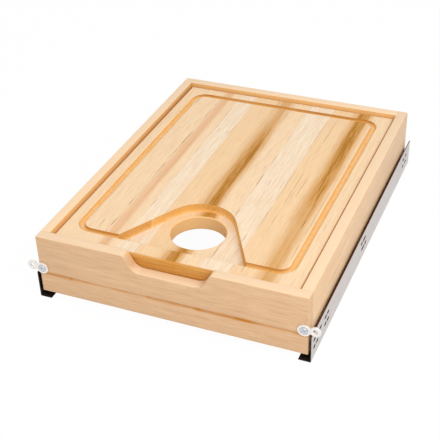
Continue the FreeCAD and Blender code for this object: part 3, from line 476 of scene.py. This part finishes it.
def fade_along(tree, parts):
    """How the heartwood fades: the middle streak to the back, the right one to the front."""
    middle = add_node(tree, "ShaderNodeMapRange", {
        "Value": parts.outputs["Y"], "From Min": 50 * MM, "From Max": 160 * MM,
        "To Min": 1.05, "To Max": 0.7})
    right = add_node(tree, "ShaderNodeMapRange", {
        "Value": parts.outputs["Y"], "From Min": -120 * MM, "From Max": -20 * MM,
        "To Min": 0.7, "To Max": 1.05})
    to_right = add_node(tree, "ShaderNodeMath", {
        0: parts.outputs["X"], 1: 60 * MM}, operation="GREATER_THAN")
    return add_node(tree, "ShaderNodeMix", {
        "Factor": to_right.outputs["Value"], "A": middle.outputs["Result"],
        "B": right.outputs["Result"]}, data_type="FLOAT").outputs["Result"]


def streaked_strips(tree, finish, place, parts, across, fibre, growth):
    """The strips with their pink streak, dark fibres and brown heartwood."""
    plain = board_strips(tree, finish, across, growth)
    moved = add_node(tree, "ShaderNodeMath", {
        0: uneven(tree, place, (300, 160, 1000)), 1: SWAY, 2: across},
        operation="MULTIPLY_ADD")
    tone = add_node(tree, "ShaderNodeMapRange", {
        "Value": growth, "From Min": 0.3, "From Max": 0.65, "To Min": 0.82, "To Max": 1.15})
    hairy = add_node(tree, "ShaderNodeMapRange", {
        "Value": fibre, "From Min": 0.3, "From Max": 0.7, "To Min": 0.74, "To Max": 1.22})
    streaky = add_node(tree, "ShaderNodeMath", {
        0: hairy.outputs["Result"], 1: tone.outputs["Result"]}, operation="MULTIPLY")
    blush = add_node(tree, "ShaderNodeValToRGB", {"Fac": moved.outputs["Value"]}, stops=[
        (across_board(spot) + SWAY / 2, grey(level)) for spot, level in BLUSH_LEVELS])
    blush_part = add_node(tree, "ShaderNodeMath", {
        0: blush.outputs["Color"], 1: streaky.outputs["Value"]}, operation="MULTIPLY")
    blushed = add_node(tree, "ShaderNodeMix", {
        "Factor": blush_part.outputs["Value"], "A": plain, "B": opaque(finish.blush)},
        data_type="RGBA")
    fibres = add_node(tree, "ShaderNodeMapRange", {
        "Value": fibre, "From Min": 0.42, "From Max": 0.66, "To Min": 0.0, "To Max": 0.6})
    lined = add_node(tree, "ShaderNodeMix", {
        "Factor": fibres.outputs["Result"], "A": blushed.outputs["Result"],
        "B": opaque(finish.maple_dark)}, data_type="RGBA", clamp_factor=True)
    heart = add_node(tree, "ShaderNodeValToRGB", {"Fac": moved.outputs["Value"]}, stops=[
        (across_board(spot) + SWAY / 2, grey(level)) for spot, level in HEARTWOOD_LEVELS])
    faded = add_node(tree, "ShaderNodeMath", {
        0: fade_along(tree, parts), 1: streaky.outputs["Value"]}, operation="MULTIPLY")
    heart_part = add_node(tree, "ShaderNodeMath", {
        0: heart.outputs["Color"], 1: faded.outputs["Value"]}, operation="MULTIPLY",
        use_clamp=True)
    browned = add_node(tree, "ShaderNodeMix", {
        "Factor": heart_part.outputs["Value"], "A": lined.outputs["Result"],
        "B": opaque(finish.heartwood)}, data_type="RGBA", clamp_factor=True)
    core = add_node(tree, "ShaderNodeMapRange", {
        "Value": heart_part.outputs["Value"], "From Min": 0.74, "From Max": 1.0,
        "To Min": 0.0, "To Max": 0.42})
    return add_node(tree, "ShaderNodeMix", {
        "Factor": core.outputs["Result"], "A": browned.outputs["Result"],
        "B": opaque(finish.heart_core)}, data_type="RGBA", clamp_factor=True).outputs["Result"]


def dark_marks(tree, place, across):
    """Short dark flecks and the stretches where a glue line has opened."""
    flecks = add_node(tree, "ShaderNodeMapRange", {
        "Value": uneven(tree, place, (2.8, 75, 3.5), 1.0), "From Min": 0.725,
        "From Max": 0.79, "To Min": 0.0, "To Max": 0.7})
    stops = []
    for edge, openness in zip(STRIP_EDGES, GLUE_LINES):
        stops.append((across_board(edge - GLUE_LINE_HALF), grey(0.0)))
        stops.append((across_board(edge), grey(openness)))
        stops.append((across_board(edge + GLUE_LINE_HALF), grey(0.0)))
    joints = add_node(tree, "ShaderNodeValToRGB", {"Fac": across}, stops=stops)
    broken = add_node(tree, "ShaderNodeMapRange", {
        "Value": uneven(tree, place, (60, 45, 1000)), "From Min": 0.48, "From Max": 0.6,
        "To Min": 0.05, "To Max": 0.5})
    joint_part = add_node(tree, "ShaderNodeMath", {
        0: joints.outputs["Color"], 1: broken.outputs["Result"]}, operation="MULTIPLY")
    return add_node(tree, "ShaderNodeMath", {
        0: joint_part.outputs["Value"], 1: flecks.outputs["Result"]},
        operation="MAXIMUM").outputs["Value"]


def painted_gap_shadow(tree, parts, facing):
    """Painted shadow on the round-over beside each wall, where the wall shades the gap: a dark
    line, a little further in on the left, where the wall hides less of it."""
    shifted = add_node(tree, "ShaderNodeMath", {0: parts.outputs["X"], 1: 0.3 * MM},
                       operation="SUBTRACT")
    sideways = add_node(tree, "ShaderNodeMath", {0: shifted.outputs["Value"]},
                        operation="ABSOLUTE")
    border = add_node(tree, "ShaderNodeMapRange", {
        "Value": sideways.outputs["Value"], "From Min": BOARD_HALF - 3.7 * MM,
        "From Max": BOARD_HALF - 2.3 * MM, "To Min": 0.0, "To Max": 0.85})
    rounded = add_node(tree, "ShaderNodeMath", {
        0: facing.outputs["Z"], 1: 0.15}, operation="GREATER_THAN")
    return add_node(tree, "ShaderNodeMath", {
        0: border.outputs["Result"], 1: rounded.outputs["Value"]},
        operation="MULTIPLY").outputs["Value"]


def cut_tone_and_shade_part(tree, place, parts, facing):
    """How much of the cut-fibre tone shows: the groove, and the upright walls of recess and hole,
    more on steeper faces, where it is painted shade.
    """
    flat = add_node(tree, "ShaderNodeMath", {0: facing.outputs["Z"]}, operation="ABSOLUTE")
    upright = add_node(tree, "ShaderNodeMapRange", {
        "Value": flat.outputs["Value"], "From Min": 0.93, "From Max": 0.7})
    aside = add_node(tree, "ShaderNodeMath", {0: parts.outputs["X"]}, operation="ABSOLUTE")
    inside = add_node(tree, "ShaderNodeMath", {
        0: aside.outputs["Value"], 1: BOARD_HALF - ROUND_OVER}, operation="LESS_THAN")
    walls = add_node(tree, "ShaderNodeMath", {
        0: upright.outputs["Result"], 1: inside.outputs["Value"]}, operation="MULTIPLY")
    sunk = add_node(tree, "ShaderNodeMapRange", {
        "Value": parts.outputs["Z"], "From Min": BOARD_TOP - 1.0 * MM,
        "From Max": BOARD_TOP - 2.2 * MM})
    shallow = add_node(tree, "ShaderNodeMapRange", {
        "Value": parts.outputs["Z"], "From Min": BOARD_TOP - GROOVE_LOWEST - 1 * MM,
        "From Max": BOARD_TOP - GROOVE_LOWEST})
    groove = add_node(tree, "ShaderNodeMath", {
        0: sunk.outputs["Result"], 1: shallow.outputs["Result"]}, operation="MULTIPLY")
    worked = add_node(tree, "ShaderNodeMath", {
        0: groove.outputs["Value"], 1: walls.outputs["Value"]}, operation="MAXIMUM")
    # Painted shade: steeper faces take more of the deeper tone.
    steep_wall_shade = add_node(tree, "ShaderNodeMapRange", {
        "Value": facing.outputs["Z"], "From Min": 0.97, "From Max": 0.55,
        "To Min": 0.7, "To Max": 0.97})
    mottled = add_node(tree, "ShaderNodeMapRange", {
        "Value": uneven(tree, place, (5, 8, 5), 3.0), "From Min": 0.35, "From Max": 0.65,
        "To Min": 0.7, "To Max": 1.22})
    deeper = add_node(tree, "ShaderNodeMath", {
        0: steep_wall_shade.outputs["Result"], 1: mottled.outputs["Result"]}, operation="MULTIPLY")
    return add_node(tree, "ShaderNodeMath", {
        0: worked.outputs["Value"], 1: deeper.outputs["Value"]}, operation="MULTIPLY",
        use_clamp=True).outputs["Value"]


def end_grain_part(tree, place, parts, facing, from_bore):
    """How much end grain shows, on faces that the fibres run into, away from the hole."""
    lengthwise = add_node(tree, "ShaderNodeMath", {0: facing.outputs["Y"]},
                          operation="ABSOLUTE")
    ended = add_node(tree, "ShaderNodeMapRange", {
        "Value": lengthwise.outputs["Value"], "From Min": 0.12, "From Max": 0.85,
        "To Min": 0.0, "To Max": 1.0})
    far_end = add_node(tree, "ShaderNodeMath", {0: parts.outputs["Y"]}, operation="ABSOLUTE")
    at_end = add_node(tree, "ShaderNodeMath", {
        0: far_end.outputs["Value"], 1: GROOVE_CROSSING}, operation="GREATER_THAN")
    steep = add_node(tree, "ShaderNodeMapRange", {
        "Value": lengthwise.outputs["Value"], "From Min": 0.2, "From Max": 0.6,
        "To Min": 0.0, "To Max": 0.55})
    groove_end = add_node(tree, "ShaderNodeMath", {
        0: at_end.outputs["Value"], 1: steep.outputs["Result"]}, operation="MULTIPLY")
    either = add_node(tree, "ShaderNodeMath", {
        0: ended.outputs["Result"], 1: groove_end.outputs["Value"]}, operation="MAXIMUM")
    rings = add_node(tree, "ShaderNodeMapRange", {
        "Value": uneven(tree, place, (40, 40, 1.4), 3.0), "From Min": 0.35,
        "From Max": 0.65, "To Min": 0.6, "To Max": 1.0})
    ringed = add_node(tree, "ShaderNodeMath", {
        0: either.outputs["Value"], 1: rings.outputs["Result"]}, operation="MULTIPLY")
    outside = add_node(tree, "ShaderNodeMath", {
        0: from_bore, 1: RECESS_HEAD_REACH}, operation="GREATER_THAN")
    return add_node(tree, "ShaderNodeMath", {
        0: ringed.outputs["Value"], 1: outside.outputs["Value"]},
        operation="MULTIPLY").outputs["Value"]


def make_board_wood(name, finish):
    """Edge-grain maple strips, glued, sanded and oiled: each strip its own tone, some with
    brown heartwood, and a warmer colour wherever the cutter went across the fibres, which
    also carries painted shade and bounce light in the groove and the recess."""
    made, tree, shader = new_material(name)
    place, fibre, growth = wood_grain(tree, 1, fine=0.8, coarse=5.0)
    parts = add_node(tree, "ShaderNodeSeparateXYZ", {"Vector": place.outputs["Object"]})
    facing = add_node(tree, "ShaderNodeSeparateXYZ", {"Vector": place.outputs["Normal"]})
    across = add_node(tree, "ShaderNodeMapRange", {
        "Value": parts.outputs["X"], "From Min": -BOARD_HALF,
        "From Max": BOARD_HALF}).outputs["Result"]
    wood = streaked_strips(tree, finish, place, parts, across, fibre, growth)
    # Flecks and open glue lines are real marks. The line beside the walls is painted shadow.
    dark = add_node(tree, "ShaderNodeMath", {
        0: dark_marks(tree, place, across), 1: painted_gap_shadow(tree, parts, facing)},
        operation="MAXIMUM")
    marked = add_node(tree, "ShaderNodeMix", {
        "Factor": dark.outputs["Value"], "A": wood, "B": opaque(finish.fleck_and_shadow_brown)},
        data_type="RGBA", clamp_factor=True)
    routed_and_shade = add_node(tree, "ShaderNodeMix", {
        "Factor": cut_tone_and_shade_part(tree, place, parts, facing), "A": marked.outputs["Result"],
        "B": opaque(finish.routed_and_shade)}, data_type="RGBA", clamp_factor=True)
    level = add_node(tree, "ShaderNodeVectorMath", {
        0: place.outputs["Object"], 1: (1, 1, 0)}, operation="MULTIPLY")
    from_bore = add_node(tree, "ShaderNodeVectorMath", {
        0: level.outputs["Vector"], 1: (0, HOLE_Y, 0)}, operation="DISTANCE").outputs["Value"]
    # Painted light on the waste hole's wall, for light bounced up from below.
    in_bore = add_node(tree, "ShaderNodeMapRange", {
        "Value": from_bore, "From Min": BORE_REACH + 1 * MM, "From Max": BORE_REACH})
    bore_painted_bright = add_node(tree, "ShaderNodeMix", {
        "Factor": in_bore.outputs["Result"], "A": routed_and_shade.outputs["Result"],
        "B": opaque(finish.bore_painted_bright)}, data_type="RGBA")
    # End grain, its colour darkened as painted shade for the shadow in the scoop.
    final = add_node(tree, "ShaderNodeMix", {
        "Factor": end_grain_part(tree, place, parts, facing, from_bore),
        "A": bore_painted_bright.outputs["Result"], "B": opaque(finish.end_grain_and_shade)},
        data_type="RGBA", clamp_factor=True)
    bump = add_node(tree, "ShaderNodeBump", {
        "Height": fibre, "Strength": 0.2, "Distance": 0.06 * MM})
    tree.links.new(final.outputs["Result"], shader.inputs["Base Color"])
    tree.links.new(bump.outputs["Normal"], shader.inputs["Normal"])
    # Oil soaks in and leaves hardly any film: dull, well under the 1.47 of oil itself.
    shader.inputs["Roughness"].default_value = 0.55
    shader.inputs["IOR"].default_value = 1.3
    return made


def make_rail_steel(name, finish):
    """Cold-rolled sheet, zinc plated: bright and finely brushed outside, and painted dark inside
    as painted shade, with the plates' upper edge painted brown as painted shadow and reflected
    wood.

    The brushing is drawn 1.1 mm wide, many times its real width, so that it shows.
    """
    made, tree, shader = new_material(name)
    place = add_node(tree, "ShaderNodeTexCoord")
    parts = add_node(tree, "ShaderNodeSeparateXYZ", {"Vector": place.outputs["Object"]})
    facing = add_node(tree, "ShaderNodeSeparateXYZ", {"Vector": place.outputs["Normal"]})
    aside = add_node(tree, "ShaderNodeMath", {0: parts.outputs["X"]}, operation="SIGN")
    outward = add_node(tree, "ShaderNodeMath", {
        0: aside.outputs["Value"], 1: facing.outputs["X"]}, operation="MULTIPLY")
    # Painted shade: faces that do not point outward get the dark colour instead of zinc.
    bright = add_node(tree, "ShaderNodeMapRange", {
        "Value": outward.outputs["Value"], "From Min": 0.2, "From Max": 0.6})
    far = add_node(tree, "ShaderNodeMath", {0: parts.outputs["X"]}, operation="ABSOLUTE")
    on_plate = add_node(tree, "ShaderNodeMath", {
        0: far.outputs["Value"], 1: PLATE_OUT - 2.5 * MM}, operation="GREATER_THAN")
    shown = add_node(tree, "ShaderNodeMath", {
        0: bright.outputs["Result"], 1: on_plate.outputs["Value"]}, operation="MULTIPLY")
    brush = uneven(tree, place, (1.1, 50, 1.1), 3.0)
    cloud = uneven(tree, place, (28, 28, 28), 3.0)
    rough = add_node(tree, "ShaderNodeMapRange", {
        "Value": brush, "To Min": 0.38, "To Max": 0.55})
    patchy = add_node(tree, "ShaderNodeMapRange", {
        "Value": cloud, "From Min": 0.3, "From Max": 0.7, "To Min": 0.0, "To Max": 0.12})
    dulled = add_node(tree, "ShaderNodeMix", {
        "Factor": patchy.outputs["Result"], "A": opaque(finish.zinc),
        "B": opaque(finish.dull_zinc)}, data_type="RGBA")
    # The plates' upper edge is painted red-brown, a painted shadow and reflection of the wood.
    top_edge = add_node(tree, "ShaderNodeMath", {
        0: parts.outputs["Z"], 1: PLATE_TOP - 0.5 * MM}, operation="GREATER_THAN")
    browned = add_node(tree, "ShaderNodeMath", {
        0: top_edge.outputs["Value"], 1: on_plate.outputs["Value"]}, operation="MULTIPLY")
    dark = add_node(tree, "ShaderNodeMix", {
        "Factor": browned.outputs["Value"], "A": opaque(finish.rail_painted_shade),
        "B": opaque(finish.rail_edge_painted_shadow)}, data_type="RGBA")
    colour = add_node(tree, "ShaderNodeMix", {
        "Factor": shown.outputs["Value"], "A": dark.outputs["Result"],
        "B": dulled.outputs["Result"]}, data_type="RGBA")
    tree.links.new(colour.outputs["Result"], shader.inputs["Base Color"])
    tree.links.new(rough.outputs["Result"], shader.inputs["Roughness"])
    shader.inputs["Metallic"].default_value = 0.75
    return made


def make_metal(name, colour, low, high, metallic=1.0):
    """Bare or plated steel: its brightness is what it reflects, faintly clouded.

    low and high are the roughness of the clearest and of the dullest patches.
    """
    made, tree, shader = new_material(name)
    place = add_node(tree, "ShaderNodeTexCoord")
    cloud = add_node(tree, "ShaderNodeTexNoise", {
        "Vector": place.outputs["Object"], "Scale": 1 / (CLOUDING * MM), "Detail": 4.0})
    rough = add_node(tree, "ShaderNodeMapRange", {
        "Value": cloud.outputs["Fac"], "From Min": 0.3, "From Max": 0.7,
        "To Min": low, "To Max": high})
    tree.links.new(rough.outputs["Result"], shader.inputs["Roughness"])
    shader.inputs["Base Color"].default_value = opaque(colour)
    shader.inputs["Metallic"].default_value = metallic
    return made


def make_plastic(name, colour, rough, grain_mm):
    """Plastic or rubber from a mould with a spark-eroded grain: dull, with soft highlights.

    Real grain is finer than 0.1 mm. grain_mm is as coarse as it needs to be to show.
    """
    made, tree, shader = new_material(name)
    place = add_node(tree, "ShaderNodeTexCoord")
    grain = add_node(tree, "ShaderNodeTexNoise", {
        "Vector": place.outputs["Object"], "Scale": 1 / (grain_mm * MM), "Detail": 2.0})
    bump = add_node(tree, "ShaderNodeBump", {
        "Height": grain.outputs["Fac"], "Strength": 0.3, "Distance": 0.05 * MM})
    tone = add_node(tree, "ShaderNodeMapRange", {
        "Value": grain.outputs["Fac"], "To Min": rough - 0.06, "To Max": rough + 0.06})
    tree.links.new(bump.outputs["Normal"], shader.inputs["Normal"])
    tree.links.new(tone.outputs["Result"], shader.inputs["Roughness"])
    shader.inputs["Base Color"].default_value = opaque(colour)
    return made


def node_body(node):
    """The body that a CAD node rides on."""
    for body, members in frame["record"]["behaviour"]["bodies"].items():
        if node in members:
            return body
    raise RuntimeError("%s rides on no body" % node)


def is_sharp(edge):
    """Whether two faces meet at an edge as sharply as at a cut corner."""
    return len(edge.link_faces) == 2 and edge.calc_face_angle() > CRISP


def finish_node(node, name, material, ease=0.0, only=None, steps=2):
    """A copy of a CAD node with merged points, soft shading and slightly eased edges.

    only picks the sharp edges that are eased, and steps is how many faces round them.
    """
    shape = bmesh.new()
    shape.from_mesh(frame["nodes"][node].data)
    bmesh.ops.remove_doubles(shape, verts=shape.verts, dist=0.002 * MM)
    bmesh.ops.dissolve_limit(shape, angle_limit=LEVEL, verts=shape.verts,
                             edges=shape.edges, use_dissolve_boundaries=False)
    for face in shape.faces:
        face.smooth = True
    eased = [edge for edge in shape.edges
             if is_sharp(edge) and (only is None or only(edge))]
    if ease > 0:
        bmesh.ops.bevel(shape, geom=eased, offset=ease, offset_type="OFFSET", affect="EDGES",
                        segments=steps, profile=0.5, material=-1, clamp_overlap=True)
        for face in shape.faces:
            face.smooth = True
    if ease == 0 or only is not None:
        for edge in shape.edges:
            if is_sharp(edge):
                edge.smooth = False
    settle(shape, name, material, node)


def settle(shape, name, material, node):
    """Makes an object of a bmesh, gives it its finish and puts it in the node's place."""
    mesh = bpy.data.meshes.new(name)
    bmesh.ops.triangulate(shape, faces=[face for face in shape.faces if len(face.verts) > 4])
    shape.to_mesh(mesh)
    shape.free()
    mesh.materials.append(material)
    made = bpy.data.objects.new(name, mesh)
    bpy.context.scene.collection.objects.link(made)
    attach(made, node_body(node))
    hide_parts(node)


class DRAWER_OT_box(bpy.types.Operator):
    """Lacquered maple on the drawer's front, sides and back"""

    bl_idname = "drawer.box"
    bl_label = "Drawer box"

    def execute(self, context):
        finish = context.scene.drawer_wood
        edges = context.scene.drawer_edges
        # Three cuts of the same lacquered maple: the front's boards are painted darkest and
        # warmest and the sides a little darker, painted shade for upright faces lit less than the
        # tops, and the sides' fibres run from front to back.
        front = make_maple("lacquered_maple_front", 0, finish, seam=True, walls=True,
                           shade=0.55)
        across = make_maple("lacquered_maple_back", 0, finish, shift=7.0, walls=True)
        lengthways = make_maple("lacquered_maple_side", 1, finish, shift=3.0, walls=True,
                                shade=0.2)
        finish_node("front_upper_board", "front_upper", front, edges.front)
        finish_node("front_lower_board", "front_lower", front, edges.front)
        finish_node("drawer_back", "back_panel", across, edges.panels)
        finish_node("drawer_side_left", "side_left", lengthways, edges.panels)
        finish_node("drawer_side_right", "side_right", lengthways, edges.panels)
        return {"FINISHED"}


class DRAWER_OT_board(bpy.types.Operator):
    """Oiled edge-grain cutting board"""

    bl_idname = "drawer.board"
    bl_label = "Cutting board"

    def execute(self, context):
        wood = make_board_wood("oiled_edge_grain_maple", context.scene.drawer_wood)
        finish_node("cutting_board", "board_oiled", wood)
        return {"FINISHED"}


class DRAWER_OT_framing(bpy.types.Operator):
    """Bearer strips, cleats and dowels inside the box"""

    bl_idname = "drawer.framing"
    bl_label = "Inner framing"

    def execute(self, context):
        finish = context.scene.drawer_wood
        ease = context.scene.drawer_edges.strips
        # Planed maple without the front's painted shade, as plain as hidden strips are.
        lengthways = make_maple("planed_maple_strip", 1, finish, shift=11.0)
        across = make_maple("planed_maple_ledge", 0, finish, shift=13.0)
        for side in ("left", "right"):
            finish_node("bearer_strip_" + side, "bearer_" + side, lengthways, ease)
            finish_node("board_cleat_" + side, "cleat_" + side, lengthways, ease)
        for side in ("front", "back"):
            finish_node("board_cleat_" + side, "cleat_" + side, across, ease)
        finish_node("corner_dowels", "dowels_fluted", across)
        return {"FINISHED"}


class DRAWER_OT_slides(bpy.types.Operator):
    """Steel rails, roller cages, rollers and rubber buffers"""

    bl_idname = "drawer.slides"
    bl_label = "Slides"

    def execute(self, context):
        finish = context.scene.drawer_hardware
        edges = context.scene.drawer_edges
        plated = make_rail_steel("zinc_plated_rail", finish)
        # Rolled and oiled: a mid grey that blurs what it reflects.
        inner = make_metal("oiled_steel_rail", finish.oiled_steel, 0.32, 0.5)
        # Ground: nearly a mirror, so each roller shows one bright line.
        ground = make_metal("ground_steel_roller", finish.ground_steel, 0.12, 0.22)
        # Nylon: almost black, with a soft waxy gleam.
        nylon = make_plastic("moulded_nylon_cage", finish.nylon, 0.5, 0.6)
        # Rubber: black, and duller than the plastics.
        rubber = make_plastic("moulded_rubber_buffer", finish.rubber, 0.75, 0.5)
        for side in ("left", "right"):
            finish_node("cabinet_rail_" + side, "rail_cabinet_" + side, plated,
                        edges.rails)
            finish_node("intermediate_rail_" + side, "rail_middle_" + side, inner)
            finish_node("drawer_rail_" + side, "rail_drawer_" + side, inner)
            finish_node("lower_roller_cage_" + side, "cage_low_" + side, nylon)
            finish_node("upper_roller_cage_" + side, "cage_high_" + side, nylon)
            finish_node("lower_rollers_" + side, "rollers_low_" + side, ground)
            finish_node("upper_rollers_" + side, "rollers_high_" + side, ground)
            finish_node("rear_buffer_" + side, "buffer_" + side, rubber, edges.buffers)
        return {"FINISHED"}


class DRAWER_OT_locks(bpy.types.Operator):
    """Lock housings and levers under the bearer strips"""

    bl_idname = "drawer.locks"
    bl_label = "Locks"

    def execute(self, context):
        finish = context.scene.drawer_hardware
        edges = context.scene.drawer_edges
        # Grey plastic: even, with a satin gleam along its eased edges.
        housing = make_plastic("moulded_lock_plastic", finish.housing, 0.45, 0.7)
        # Orange plastic: the one strong colour, so that a hand finds the lever.
        lever = make_plastic("moulded_lever_plastic", finish.lever, 0.4, 0.7)
        # Zinc plated: cool and bright, with a slightly clouded reflection.
        screws = make_metal("zinc_plated_lock_screw", finish.lock_screw, 0.2, 0.35)
        for side in ("left", "right"):
            finish_node("lock_housing_" + side, "housing_" + side, housing, edges.housings)
            finish_node("lock_lever_" + side, "lever_" + side, lever, edges.levers)
        finish_node("lock_screws", "lock_screws_plated", screws)
        return {"FINISHED"}


class DRAWER_OT_plates(bpy.types.Operator):
    """Figure-of-eight plates and their screws on the front"""

    bl_idname = "drawer.plates"
    bl_label = "Figure-of-eight plates"

    def execute(self, context):
        finish = context.scene.drawer_hardware
        edges = context.scene.drawer_edges
        # Satin nickel: warm white and evenly bright, with edges that catch the lamp. It is
        # less metallic than nickel is, because the real plates stay white where they
        # would mirror something dark.
        nickel = make_metal("satin_nickel_plate", finish.nickel, 0.28, 0.42, 0.6)
        # Zinc plated: bluer and shinier than the plates it holds.
        bright = make_metal("zinc_plated_screw", finish.plate_screw, 0.18, 0.3)
        for side in ("left", "right"):
            finish_node("figure_eight_plate_" + side, "plate_" + side, nickel, edges.plates)
        head_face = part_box("figure_eight_screws")[0].y

        def rim_of_head(edge):
            """The circle round a head's outer face, and not the cross sunk in it."""
            for corner in edge.verts:
                aside = abs(corner.co.x) - PIVOT_X
                up = corner.co.z - PIVOT_Z
                if math.hypot(aside, up) < HEAD_RADIUS - 0.2 * MM:
                    return False
                if corner.co.y > head_face + 0.1 * MM:
                    return False
            return True

        finish_node("figure_eight_screws", "plate_screws", bright, edges.heads,
                    rim_of_head, 5)
        return {"FINISHED"}


def soft_lamp(name, place, aim, size, power):
    """A square area lamp at a place, turned to face a point."""
    data = bpy.data.lights.new(name, "AREA")
    data.shape = "SQUARE"
    data.size = size
    data.energy = power
    lamp = bpy.data.objects.new(name, data)
    lamp.location = place
    lamp.rotation_euler = (Vector(aim) - Vector(place)).to_track_quat("-Z", "Y").to_euler()
    bpy.context.scene.collection.objects.link(lamp)


class DRAWER_OT_stage(bpy.types.Operator):
    """Floor, light and camera"""

    bl_idname = "drawer.stage"
    bl_label = "Stage"

    def execute(self, context):
        studio = context.scene.drawer_studio
        make_floor()
        make_world(studio.sky)
        middle = (0, 0, 50 * MM)
        soft_lamp("key_lamp", studio.key_place, middle, studio.key_size, studio.key)
        data = bpy.data.cameras.new("photo_camera")
        data.lens = studio.lens
        data.sensor_width = 36
        data.clip_start = 0.05
        camera = bpy.data.objects.new("photo_camera", data)
        turn = Euler((math.pi / 2 - studio.elevation, 0, studio.azimuth)).to_matrix().to_4x4()
        camera.matrix_world = (Matrix.Translation(studio.camera_place) @ turn
                               @ Matrix.Rotation(studio.roll, 4, "Z"))
        context.scene.collection.objects.link(camera)
        context.scene.camera = camera
        context.scene.view_settings.view_transform = "Standard"
        return {"FINISHED"}


def seen_directly(tree):
    """1 for rays from the camera, a mirror or a glass, and 0 for the light's own bounces."""
    path = add_node(tree, "ShaderNodeLightPath")
    first = add_node(tree, "ShaderNodeMath", {
        0: path.outputs["Is Camera Ray"], 1: path.outputs["Is Glossy Ray"]},
        operation="MAXIMUM")
    return add_node(tree, "ShaderNodeMath", {
        0: first.outputs["Value"], 1: path.outputs["Is Transmission Ray"]},
        operation="MAXIMUM").outputs["Value"]


def make_floor():
    """A floor of matt white paper: no gleam, white to the eye, with a faint shadow.

    It lies half a millimetre low, so that it never flickers against the rails' feet.
    """
    shape = bmesh.new()
    bmesh.ops.create_grid(shape, x_segments=1, y_segments=1, size=FLOOR_REACH)
    bmesh.ops.translate(shape, verts=shape.verts, vec=(0, 0, -0.5 * MM))
    mesh = bpy.data.meshes.new("floor")
    shape.to_mesh(mesh)
    shape.free()
    floor = bpy.data.objects.new("floor", mesh)
    bpy.context.scene.collection.objects.link(floor)
    made, tree, shader = new_material("white_paper_floor")
    shader.inputs["Base Color"].default_value = opaque(srgb("#F4F4F4"))
    shader.inputs["Roughness"].default_value = 0.9
    glow = add_node(tree, "ShaderNodeEmission", {
        "Color": opaque(srgb("#FFFFFF")), "Strength": 1.0})
    share = add_node(tree, "ShaderNodeMath", {0: seen_directly(tree), 1: FLOOR_GLOW},
                     operation="MULTIPLY")
    mixed = add_node(tree, "ShaderNodeMixShader", {
        0: share.outputs["Value"], 1: shader.outputs["BSDF"], 2: glow.outputs["Emission"]})
    output = tree.nodes["Material Output"]
    tree.links.new(mixed.outputs["Shader"], output.inputs["Surface"])
    mesh.materials.append(made)


def make_world(strength):
    """Even white light from all round. It looks plain white wherever it is seen."""
    world = bpy.data.worlds.new("studio_world")
    world.use_nodes = True
    bpy.context.scene.world = world
    tree = world.node_tree
    back = tree.nodes["Background"]
    level = add_node(tree, "ShaderNodeMapRange", {
        "Value": seen_directly(tree), "To Min": strength, "To Max": 1.0})
    tree.links.new(level.outputs["Result"], back.inputs["Strength"])
    back.inputs["Color"].default_value = (1, 1, 1, 1)


class DRAWER_PT_panel(bpy.types.Panel):
    """Lists the drawer's pieces and finishes"""

    bl_idname = "DRAWER_PT_panel"
    bl_label = "Cutting board drawer"
    bl_space_type = "VIEW_3D"
    bl_region_type = "UI"
    bl_category = "Drawer"

    def draw(self, context):
        for group in GROUPS:
            box = self.layout.box()
            for name in GROUPS[group].__annotations__:
                box.prop(getattr(context.scene, group), name)
        for operator in OPERATORS:
            self.layout.operator(operator.bl_idname)


GROUPS = {"drawer_wood": WoodFinish, "drawer_hardware": HardwareFinish,
          "drawer_edges": EdgeSizes, "drawer_studio": StudioSettings}
OPERATORS = (DRAWER_OT_box, DRAWER_OT_board, DRAWER_OT_framing, DRAWER_OT_slides,
             DRAWER_OT_locks, DRAWER_OT_plates, DRAWER_OT_stage)


def register():
    """Registers the classes and hangs their settings on the scene."""
    for made in (*GROUPS.values(), *OPERATORS, DRAWER_PT_panel):
        bpy.utils.register_class(made)
    for name, group in GROUPS.items():
        setattr(bpy.types.Scene, name, bpy.props.PointerProperty(type=group))


def unregister():
    """Takes the settings off the scene again, and the classes after them."""
    for name in GROUPS:
        delattr(bpy.types.Scene, name)
    for made in (DRAWER_PT_panel, *reversed(OPERATORS), *reversed(tuple(GROUPS.values()))):
        bpy.utils.unregister_class(made)


def main():
    """Dresses the drawer."""
    register()
    bpy.ops.drawer.box()
    bpy.ops.drawer.board()
    bpy.ops.drawer.framing()
    bpy.ops.drawer.slides()
    bpy.ops.drawer.locks()
    bpy.ops.drawer.plates()
    bpy.ops.drawer.stage()


if __name__ == "__main__":
    main()
